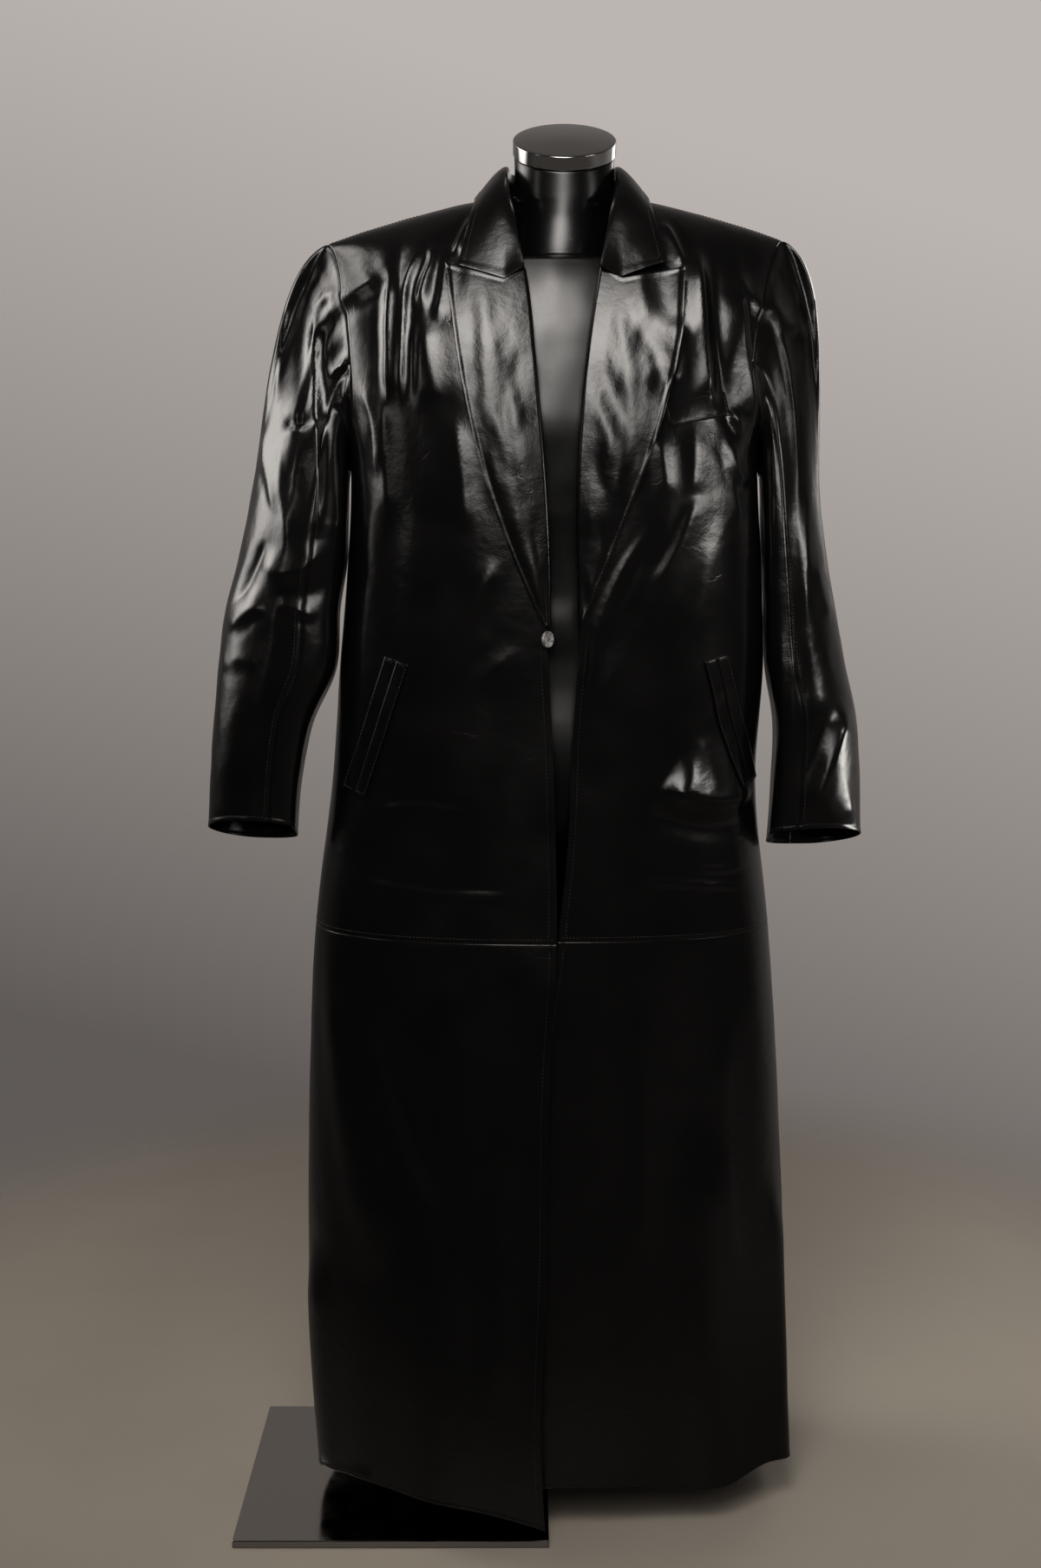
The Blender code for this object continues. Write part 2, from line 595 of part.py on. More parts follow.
def form(finish):
    """The torso: a shell open at the pole's hole, closed at the neck."""
    heights = np.array([0.800, 0.820, 0.90, 1.00, 1.10, 1.20, 1.30, 1.38, 1.43, 1.46, 1.478, 1.489, 1.4955, 1.5006,
                        1.5045, 1.5065, 1.5085, 1.512, 1.52, 1.536, NECK_TOP])
    count = 20
    mesh = bpy.data.meshes.new("form")
    shape = bmesh.new()
    hole = POLE_RADIUS + 2 * SEAM
    rings = []
    turns = np.arange(count) * 2 * math.pi / count
    rim = [(-BODY_X + hole * math.sin(t), -hole * math.cos(t), FORM_BOTTOM) for t in turns]
    rings.append([shape.verts.new(p) for p in rim])
    for height in heights:
        power = column(FORM, height, 4)
        reach = (np.abs(np.sin(turns)) ** power + np.abs(np.cos(turns)) ** power) ** (-1 / power)
        depth = np.where(np.cos(turns) > 0, -column(FORM, height, 2), -column(FORM, height, 3))
        x = column(FORM, height, 1) * np.sin(turns) * reach + NECK_SHIFT * fade(1.495, 1.53, height)
        y = depth * np.cos(turns) * reach
        lean = math.tan(NECK_LEAN) * fade(1.505, NECK_TOP, height)
        rings.append([shape.verts.new((px, py, height + lean * py)) for px, py in zip(x, y)])
    top = shape.verts.new((NECK_SHIFT, 0, NECK_TOP))
    for low, high in zip(rings, rings[1:]):
        for i in range(count):
            j = (i + 1) % count
            shape.faces.new((low[i], low[j], high[j], high[i]))
    for i in range(count):
        shape.faces.new((rings[-1][i], rings[-1][(i + 1) % count], top))
    bmesh.ops.translate(shape, verts=shape.verts[:], vec=(BODY_X, 0, 0))
    bmesh.ops.recalc_face_normals(shape, faces=shape.faces[:])
    shape.to_mesh(mesh)
    shape.free()
    made = keep("form", mesh, finish)
    shell = made.modifiers.new("shell", "SOLIDIFY")
    shell.thickness = FORM_WALL
    shell.offset = -1
    return made


def turned(name, profile, centre, finish, lean=0.0, segments=36):
    """A turned piece: a profile of radius and height, spun about the upright axis and leaned forward."""
    mesh = bpy.data.meshes.new(name)
    shape = bmesh.new()
    line = [shape.verts.new((r, 0, z)) for r, z in profile]
    edges = [shape.edges.new(pair) for pair in zip(line, line[1:])]
    bmesh.ops.spin(shape, geom=line + edges, cent=(0, 0, 0), axis=(0, 0, 1), angle=2 * math.pi,
                   steps=segments, use_merge=True)
    bmesh.ops.remove_doubles(shape, verts=shape.verts[:], dist=1e-6)
    bmesh.ops.recalc_face_normals(shape, faces=shape.faces[:])
    shape.to_mesh(mesh)
    shape.free()
    made = keep(name, mesh, finish)
    made.location = centre
    made.rotation_euler = (lean, 0, 0)
    return made


for old in list(bpy.data.objects):
    bpy.data.objects.remove(old, do_unlink=True)
part = bpy.data.collections.new("leather_coat_on_stand")
bpy.context.scene.collection.children.link(part)

leather = material("black_leather", "#0d0c0c", 0.30)
gloss = material("black_gloss_form", "#0a0a0b", 0.12)
chrome = material("chrome", "#c9c8c6", 0.08, 1.0)
steel = material("polished_steel", "#b9b6b2", 0.14, 1.0)
horn = material("mottled_button", "#8a8680", 0.35)

# The rows of the panels: even below the underarm, close above it where the armhole curves
low_rows = np.concatenate([np.linspace(CROSS_SEAM, 1.06, 6), np.linspace(1.06, UNDERARM, 4)[1:]])
arm_rows = np.array([1.215, 1.2255, 1.242, 1.266, 1.30, 1.345, 1.39, 1.43, 1.47, 1.497, 1.515])
upper_rows = np.concatenate([low_rows, arm_rows[1:]])
lower_rows = np.linspace(0, 1, 13)
front_columns = np.concatenate([np.linspace(0, 0.3, 4), np.linspace(0.36, 0.72, 8), np.linspace(0.8, 1, 4)])
few_columns = front_columns[[0, 2, 4, 6, 8, 10, 12, 14, 15]]

for side, hem in (("right", HEM_RIGHT), ("left", HEM_LEFT)):
    wall(f"front_upper_{side}", front_columns, upper_rows, front_upper(side), leather)
    wall(f"front_lower_{side}", np.linspace(0, 1, 12), lower_rows, front_lower(side, hem), leather)

right_neck, left_neck = neck_share(-1), neck_share(1)
back_columns = np.concatenate([
    -(right_neck + (1 - right_neck) * few_columns[::-1]), -right_neck * np.array([0.97, 0.9, 0.75, 0.5, 0.25]), [0],
    left_neck * np.array([0.25, 0.5, 0.75, 0.9, 0.97]), left_neck + (1 - left_neck) * few_columns,
])
wall("back_upper", back_columns, upper_rows, back_upper, leather)
wall("back_lower", np.linspace(0, 1, 21), lower_rows, back_lower, leather)

cap_rows = np.array([0, 0.12, 0.26, 0.42, 0.6, 0.8, 1.0])
arm_length = np.linspace(1, 2, 10)
sleeve_rows = np.concatenate([cap_rows, arm_length[1:]])
for side in ("right", "left"):
    count = 2 * (len(arm_rows) - 1)
    front_seam, back_seam = 6, 14
    top_columns = np.arange(back_seam - count, front_seam + 1).astype(float)
    under_columns = np.arange(front_seam, back_seam + 1).astype(float)
    gap = 0.016
    top_columns[[0, -1]] += (gap, -gap)
    under_columns[[0, -1]] += (gap, -gap)
    wall(f"sleeve_top_{side}", top_columns, sleeve_rows, sleeve(side, arm_rows), leather)
    wall(f"sleeve_under_{side}", under_columns, sleeve_rows, sleeve(side, arm_rows), leather)

roll_columns = np.array([0, 0.075, 0.15, 0.225, 0.3, 0.4, 0.55, 0.7, 0.85, 1.0])
wall("lapel_right", roll_columns, np.linspace(0, 1, 13), lapel("right", LAPEL_RIGHT), leather)
wall("lapel_left", roll_columns, np.linspace(0, 1, 13), lapel("left", LAPEL_LEFT), leather)
collar_rows = np.array([0, 0.14, 0.27, 0.36, 0.4, 0.45, 0.53, 0.66, 0.82, 1.0])
wall("collar", np.linspace(0, 1, 29), collar_rows, thick_collar, leather)

wall("chest_welt", np.linspace(0, 1, 7), np.linspace(0, 1, 3),
     welt("left", *CHEST_WELT[:2], 0, CHEST_WELT[2], 0.0007, 0.0025), leather)
for side, pocket in (("right", POCKET_RIGHT), ("left", POCKET_LEFT)):
    for edge, offset in (("front", -1), ("back", 1)):
        shift = offset * (POCKET_WELT + SEAM * 2) / 2
        wall(f"pocket_welt_{side}_{edge}", np.linspace(0, 1, 10), np.linspace(0, 1, 3),
             welt(side, *pocket, shift, POCKET_WELT), leather)

dish = [(0, 0), (BUTTON_RADIUS * 0.9, 0), (BUTTON_RADIUS, BUTTON_THICK * 0.35), (BUTTON_RADIUS, BUTTON_THICK * 0.75),
        (BUTTON_RADIUS * 0.9, BUTTON_THICK), (BUTTON_RADIUS * 0.72, BUTTON_THICK * 0.8), (0, BUTTON_THICK * 0.8)]
button = turned("button", dish, (BUTTON_PLACE[0] + BODY_X, *BUTTON_PLACE[1:]), horn, segments=24)
button.rotation_euler = (math.pi / 2, 0, BUTTON_TURN)

form(gloss)
crown = [(0, 0), (CAP_RADIUS, 0), (CAP_RADIUS, CAP_BAND)]
crown += [(CAP_RADIUS * math.cos(a), CAP_BAND + CAP_DOME * math.sin(a)) for a in np.radians([30, 60, 80])]
crown += [(0, CAP_BAND + CAP_DOME)]
turned("neck_cap", crown, (BODY_X + NECK_SHIFT, 0, NECK_TOP + 2 * SEAM), chrome, NECK_LEAN)
turned("pole", [(0, PLATE_THICK + SEAM), (POLE_RADIUS, PLATE_THICK + SEAM), (POLE_RADIUS, POLE_TOP), (0, POLE_TOP)],
       (0, 0, 0), chrome, segments=32)

mesh = bpy.data.meshes.new("base_plate")
shape = bmesh.new()
bmesh.ops.create_cube(shape, size=1.0)
bmesh.ops.scale(shape, verts=shape.verts[:], vec=(PLATE_SIDE, PLATE_SIDE, PLATE_THICK))
bmesh.ops.translate(shape, verts=shape.verts[:], vec=(*PLATE_CENTRE, PLATE_THICK / 2))
shape.to_mesh(mesh)
shape.free()
plate = keep("base_plate", mesh, steel)
edge = plate.modifiers.new("edge", "BEVEL")
edge.width = 0.0012
edge.segments = 2
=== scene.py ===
# %% [markdown]
# # A long leather coat on a torso form
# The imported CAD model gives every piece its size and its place. This lesson lays fine leather over it, sews
# it, polishes the stand and lights it. The model is loaded first, because every later step is measured
# against it.

# %% Load the frame
import math

import bpy
import numpy as np
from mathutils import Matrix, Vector, noise


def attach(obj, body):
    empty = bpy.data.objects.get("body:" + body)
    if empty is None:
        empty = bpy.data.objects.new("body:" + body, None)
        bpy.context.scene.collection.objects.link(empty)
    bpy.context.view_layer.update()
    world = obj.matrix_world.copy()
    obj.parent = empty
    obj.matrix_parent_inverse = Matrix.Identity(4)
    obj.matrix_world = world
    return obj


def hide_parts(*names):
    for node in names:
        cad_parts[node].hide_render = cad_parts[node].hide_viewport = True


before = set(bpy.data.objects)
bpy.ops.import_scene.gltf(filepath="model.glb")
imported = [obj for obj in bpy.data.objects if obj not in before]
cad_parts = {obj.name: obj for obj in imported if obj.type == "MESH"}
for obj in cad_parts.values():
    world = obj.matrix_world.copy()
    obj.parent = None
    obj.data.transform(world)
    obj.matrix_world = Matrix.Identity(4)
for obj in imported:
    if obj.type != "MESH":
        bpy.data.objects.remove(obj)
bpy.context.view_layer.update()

# %% [markdown]
# ## Finishes
# A finish is a small tree of nodes. Colours are easiest to note as screen codes, but a shader wants linear
# light, so one function turns them. A second one adds a node, sets it and links it, which keeps each finish
# readable.

# %% Colour and node helpers
def linear(code):
    """A screen colour code as the linear colour that a shader wants."""
    parts = [int(code[i:i + 2], 16) / 255 for i in (1, 3, 5)]
    return [p / 12.92 if p <= 0.04045 else ((p + 0.055) / 1.055) ** 2.4 for p in parts] + [1.0]


def feed(node, inputs):
    """Gives inputs of a node their value, or the socket that feeds them."""
    for name, value in inputs.items():
        if isinstance(value, bpy.types.NodeSocket):
            node.id_data.links.new(value, node.inputs[name])
        else:
            node.inputs[name].default_value = value


def add(tree, kind, inputs=None, **settings):
    """Adds a node with its settings and its inputs."""
    made = tree.nodes.new("ShaderNode" + kind)
    for name, value in settings.items():
        setattr(made, name, value)
    feed(made, inputs or {})
    return made


def begin(name):
    """A new material, its node tree and its shader."""
    made = bpy.data.materials.new(name)
    made.use_nodes = True
    return made, made.node_tree, made.node_tree.nodes["Principled BSDF"]


print("half bright on a screen is", round(linear("#808080")[0], 3), "in linear light")

# %% [markdown]
# The coat is black nappa: smooth cowhide under a thick glossy finish. The eye sees a nearly black body and
# the clear edge of whatever it mirrors, with a fine pebble that breaks the mirror up. Real pebbles are
# about 0.8 mm across; they are drawn at 1.6 mm here so that they still show at a millimetre to the pixel. A
# slower noise makes the polish patchy, and a net of hairlines, 45 mm from one to the next and broken by
# noise, stands for the marks of folding and packing.

# %% Leather
GRAIN = 0.0016
PUCKER = 0.011
PATCH = 0.060
HAIRLINE = 0.045
HAIRLINE_DEPTH = 0.0006

leather, tree, shader = begin("glossy_black_nappa")
place = add(tree, "TexCoord").outputs["Object"]
pebble = add(tree, "TexVoronoi", {"Vector": place, "Scale": 1 / GRAIN, "Randomness": 0.9},
             feature="SMOOTH_F1")
pucker = add(tree, "TexNoise", {"Vector": place, "Scale": 1 / PUCKER, "Detail": 3.0, "Roughness": 0.5})
patch = add(tree, "TexNoise", {"Vector": place, "Scale": 1 / PATCH, "Detail": 2.0})
sway = add(tree, "VectorMath", {0: pucker.outputs["Color"], "Scale": PUCKER}, operation="SCALE")
bent = add(tree, "VectorMath", {0: place, 1: sway.outputs["Vector"]}, operation="ADD")
marks = add(tree, "TexVoronoi", {"Vector": bent.outputs["Vector"], "Scale": 1 / HAIRLINE},
            feature="DISTANCE_TO_EDGE")
line = add(tree, "MapRange", {"Value": marks.outputs["Distance"], "From Min": 0.0, "From Max": 0.025})
broken = add(tree, "MapRange", {"Value": patch.outputs["Fac"], "From Min": 0.58, "From Max": 0.70,
                                "To Max": 0.22})
fine = add(tree, "Bump", {"Height": pebble.outputs["Distance"], "Strength": 0.22, "Distance": GRAIN / 8})
slow = add(tree, "Bump", {"Height": pucker.outputs["Fac"], "Strength": 0.45, "Distance": PUCKER / 16,
                          "Normal": fine.outputs["Normal"]})
creased = add(tree, "Bump", {"Height": line.outputs["Result"], "Strength": broken.outputs["Result"],
                             "Distance": HAIRLINE_DEPTH, "Normal": slow.outputs["Normal"]})
polish = add(tree, "MapRange", {"Value": patch.outputs["Fac"], "From Min": 0.3, "From Max": 0.7,
                                "To Min": 0.15, "To Max": 0.23})
tint = add(tree, "Mix", {"Factor": patch.outputs["Fac"], "A": linear("#080808"), "B": linear("#0c0b0b")},
           data_type="RGBA")
feed(shader, {"Base Color": tint.outputs["Result"], "Roughness": polish.outputs["Result"],
              "Normal": creased.outputs["Normal"], "IOR": 1.5})
print("finish", leather.name)

# %% [markdown]
# The topstitching is bonded polyester thread, near black. Its colour is a dark grey with a painted sheen
# that makes it a little lighter than the leather, with painted lighter stripes along the twist. Its twist is
# 0.3 mm in the real thread. It is drawn 3.8 mm long, so that each stitch differs a little.

# %% Thread
TWIST = 0.00377
WAVE_TURN = 20

thread, tree, shader = begin("bonded_polyester_thread")
place = add(tree, "TexCoord").outputs["Object"]
strand = add(tree, "TexWave", {"Vector": place, "Scale": 2 * math.pi / TWIST / WAVE_TURN, "Distortion": 2.0})
# Painted sheen: the twist shows as lighter stripes, and the thread reads lighter than the leather.
twist_and_painted_sheen = add(tree, "Mix", {"Factor": strand.outputs["Fac"], "A": linear("#2b2929"), "B": linear("#4a4745")},
            data_type="RGBA")
feed(shader, {"Base Color": twist_and_painted_sheen.outputs["Result"], "Roughness": 0.45})
print("finish", thread.name)

# %% [markdown]
# The form is glass fibre under black lacquer. Lacquer is almost a mirror, with a slow ripple left by the
# mould, so it gets a low roughness and a very shallow wave about 90 mm long. Fine rubbing marks make the
# polish uneven.

# %% Lacquer of the form
MOULD_RIPPLE = 0.090
RIPPLE_DEPTH = 0.022
RUB = 0.004

lacquer, tree, shader = begin("black_lacquer_on_glass_fibre")
place = add(tree, "TexCoord").outputs["Object"]
ripple = add(tree, "TexNoise", {"Vector": place, "Scale": 1 / MOULD_RIPPLE, "Detail": 1.0})
rubbed = add(tree, "TexNoise", {"Vector": place, "Scale": 1 / RUB, "Detail": 4.0})
swell = add(tree, "Bump", {"Height": ripple.outputs["Fac"], "Strength": 0.3, "Distance": RIPPLE_DEPTH})
haze = add(tree, "MapRange", {"Value": rubbed.outputs["Fac"], "To Min": 0.20, "To Max": 0.30})
feed(shader, {"Base Color": linear("#060606"), "Roughness": haze.outputs["Result"],
              "Normal": swell.outputs["Normal"]})
print("finish", lacquer.name)

# %% [markdown]
# The neck cap and the pole are chrome plate on brass: a clear mirror with faint wiping marks. The base is
# polished stainless sheet, a warmer grey, with a short grain from the polishing wheel and a few dull spots
# where feet pass.

# %% Chrome and steel
WIPE = 0.012
WHEEL_GRAIN = 0.0012
WHEEL_DEPTH = 0.0002
DULL_SPOT = 0.035

chrome, tree, shader = begin("chrome_plate")
place = add(tree, "TexCoord").outputs["Object"]
wiped = add(tree, "TexNoise", {"Vector": place, "Scale": 1 / WIPE, "Detail": 5.0, "Roughness": 0.6})
smear = add(tree, "MapRange", {"Value": wiped.outputs["Fac"], "To Min": 0.04, "To Max": 0.13})
feed(shader, {"Base Color": linear("#d2d2d0"), "Roughness": smear.outputs["Result"], "Metallic": 1.0})

steel, tree, shader = begin("polished_stainless_sheet")
place = add(tree, "TexCoord").outputs["Object"]
along = add(tree, "Mapping", {"Vector": place, "Scale": (1.0, 0.04, 1.0)})
wheel = add(tree, "TexNoise", {"Vector": along.outputs["Vector"], "Scale": 1 / WHEEL_GRAIN, "Detail": 3.0})
spots = add(tree, "TexNoise", {"Vector": place, "Scale": 1 / DULL_SPOT, "Detail": 4.0, "Roughness": 0.65})
worn = add(tree, "MapRange", {"Value": spots.outputs["Fac"], "From Min": 0.35, "From Max": 0.75,
                              "To Min": 0.07, "To Max": 0.22})
lines = add(tree, "Bump", {"Height": wheel.outputs["Fac"], "Strength": 0.12, "Distance": WHEEL_DEPTH})
feed(shader, {"Base Color": linear("#b4b0ab"), "Roughness": worn.outputs["Result"],
              "Normal": lines.outputs["Normal"], "Metallic": 1.0})
print("finishes", chrome.name, steel.name)

# %% [markdown]
# The button is cast resin made to look like horn: grey with white and black streaks a few millimetres long.

# %% Horn resin
HORN_STREAK = 0.004

horn, tree, shader = begin("mottled_horn_resin")
place = add(tree, "TexCoord").outputs["Object"]
streak = add(tree, "TexNoise", {"Vector": place, "Scale": 1 / HORN_STREAK, "Detail": 3.0, "Distortion": 1.2})
blotch = add(tree, "ValToRGB", {"Fac": streak.outputs["Fac"]})
for stop, place, code in zip(blotch.color_ramp.elements, (0.34, 0.66), ("#26262a", "#c9c8c6")):
    stop.position, stop.color = place, linear(code)
feed(shader, {"Base Color": blotch.outputs["Color"], "Roughness": 0.3})
print("finish", horn.name)

# %% [markdown]
# ## The block of the coat
# A tailor drafts from a block: the body without any fold. Here it is a stack of rounded sections, and above
# the underarm the way up bends over the shoulder. Sizes in a short table read like a measuring chart, and
# one smooth curve through each column fills in between. The same chart is in the CAD, so the leather lies
# where the solids are.

# %% Curves through tables
def column(table, at, index=1):
    """One column of a table at the places asked for, as a smooth curve over the first column."""
    key, value = table[:, 0], table[:, index]
    slope = np.gradient(value, key)
    at = np.clip(at, key[0], key[-1])
    i = np.clip(np.searchsorted(key, at) - 1, 0, len(key) - 2)
    step = key[i + 1] - key[i]
    t = (at - key[i]) / step
    flat = value[i] * (1 + 2 * t) * (1 - t) ** 2 + value[i + 1] * t * t * (3 - 2 * t)
    return flat + step * (slope[i] * t * (1 - t) ** 2 + slope[i + 1] * t * t * (t - 1))


def fade(low, high, at):
    """0 below low, 1 above high, and a soft rise between."""
    t = np.clip((at - low) / (high - low), 0, 1)
    return t * t * (3 - 2 * t)


print("a fade is at", float(fade(0, 1, 0.25)), "after a quarter of its way")

# %% Sections of the body
WALL, SEAM, BODY_X = 0.0018, 0.0003, 0.090
UNDERARM, SHOULDER, CROSS_SEAM = 1.215, 1.515, 0.692
SHOULDER_DROP, NECK_POINT, TIP = 0.048, 0.078, 0.262
SEAM_FORWARD, BACK_NECK_DEPTH, ROUNDNESS = 0.018, 0.078, 2.5
SIDE_DEPTH, BACK_DEPTH = 0.15, 0.152

SECTIONS = np.array([
    # height, right, left, right front, left front, back
    (0.000, 0.284, 0.282, 0.200, 0.146, 0.222),
    (0.220, 0.297, 0.272, 0.186, 0.144, 0.208),
    (0.450, 0.296, 0.262, 0.172, 0.144, 0.190),
    (0.690, 0.285, 0.245, 0.160, 0.146, 0.170),
    (0.850, 0.265, 0.228, 0.152, 0.144, 0.158),
    (1.000, 0.253, 0.235, 0.150, 0.145, 0.150),
    (1.100, 0.244, 0.232, 0.151, 0.148, 0.150),
    (1.215, 0.239, 0.226, 0.150, 0.150, 0.152),
    (1.360, 0.251, 0.238, 0.150, 0.150, 0.152),
    (1.515, 0.264, 0.252, 0.150, 0.150, 0.152),
])


def half_width(angle, level):
    """Half width of the body on the side that the angle is on."""
    return np.where(angle < 0, column(SECTIONS, level, 1), column(SECTIONS, level, 2))


def drop(x, level):
    """How far the shoulder line falls from the neck point out to the tip."""
    out = np.clip((np.abs(x) - NECK_POINT) / (TIP - NECK_POINT), 0, None)
    return SHOULDER_DROP * out ** 1.3 * fade(UNDERARM, SHOULDER, level)


def level_of(climb):
    """The height that a climb stands for, before the shoulder falls away."""
    bend = np.clip((climb - UNDERARM) / (SHOULDER - UNDERARM), 0, None) * math.pi / 2
    return np.where(bend > 0, UNDERARM + (SHOULDER - UNDERARM) * np.sin(bend), climb)


def skin(face, angle, climb):
    """A point of the body with no fold in it."""
    angle, climb = np.broadcast_arrays(np.asarray(angle, float), np.asarray(climb, float))
    level = level_of(climb)
    near = np.cos(np.clip((climb - UNDERARM) / (SHOULDER - UNDERARM), 0, None) * math.pi / 2)
    right, left = column(SECTIONS, level, 3), column(SECTIONS, level, 4)
    if face == "back":
        depth = np.where(near > 0, column(SECTIONS, level, 5), np.where(angle < 0, right, left))
    else:
        depth = -(right if face == "right" else left)
    reach = (np.abs(np.sin(angle)) ** ROUNDNESS + np.abs(np.cos(angle)) ** ROUNDNESS) ** (-1 / ROUNDNESS)
    x = half_width(angle, level) * np.sin(angle) * reach
    y = depth * near * np.cos(angle) * reach
    return np.stack([x, y, level - drop(x, level)], axis=-1)


print("chest", round(float(column(SECTIONS, UNDERARM, 1) + column(SECTIONS, UNDERARM, 2)), 3), "m wide")

# %% [markdown]
# ## Folds and creases
# Leather doesn't flow like silk: it stands in a few broad folds, and between them it keeps sharp little
# creases from packing and from the arm's bend. The broad folds are in the CAD too. The creases are placed
# one by one: each runs through a few points seen from the front, with a width, a rise and a lean to one side.
# Its crest is sharp, with a trough on each flank, so it looks pressed up out of the hide. A simulation
# would put folds where it likes, so it isn't used.

# %% Broad folds
FOLDS = {
    "right": (
        # from round, from height, to round, to height, half width, rise
        (-43.0, 1.465, -47.0, 1.270, 4.0, 0.0030),
        (-33.5, 1.490, -37.0, 1.265, 4.0, 0.0030),
        (-60.0, 0.700, -38.0, 0.280, 7.0, 0.0080),
        (-26.0, 0.400, -28.0, 0.060, 8.0, 0.0100),
        (-66.0, 0.330, -64.0, 0.055, 8.0, 0.0090),
    ),
    "left": (
        # from round, from height, to round, to height, half width, rise
        (34.0, 1.490, 36.0, 1.300, 4.0, 0.0030),
        (46.0, 1.465, 48.0, 1.310, 4.0, 0.0030),
        (34.0, 1.130, 6.0, 0.930, 4.0, 0.0012),
        (34.0, 0.500, 38.0, 0.050, 7.0, 0.0090),
        (66.0, 0.420, 66.0, 0.055, 7.0, 0.0080),
    ),
    "back": (
        # from round, from height, to round, to height, half width, rise
        (-38.0, 1.430, -46.0, 1.250, 4.0, 0.0080),
        (38.0, 1.430, 46.0, 1.250, 4.0, 0.0080),
        (-50.0, 0.640, -44.0, 0.050, 8.0, 0.0110),
        (6.0, 0.600, 4.0, 0.050, 8.0, 0.0100),
        (52.0, 0.620, 46.0, 0.050, 8.0, 0.0110),
    ),
}
HEM_REACH = 0.07


def ridge(rows, around, height):
    """Rise of the broad folds at places given as degrees round and height."""
    rise = np.zeros(np.broadcast(around, height).shape)
    for from_round, from_height, to_round, to_height, width, most in rows:
        t = (from_height - height) / (from_height - to_height)
        middle = from_round + (to_round - from_round) * np.clip(t, 0, 1)
        ends = fade(0, 0.3, t) * (1 if to_height < HEM_REACH else 1 - fade(0.7, 1.0, t))
        rise = np.maximum(rise, most * ends * np.exp(-((around - middle) / width) ** 2))
    return rise


print({face: len(rows) for face, rows in FOLDS.items()}, "broad folds")
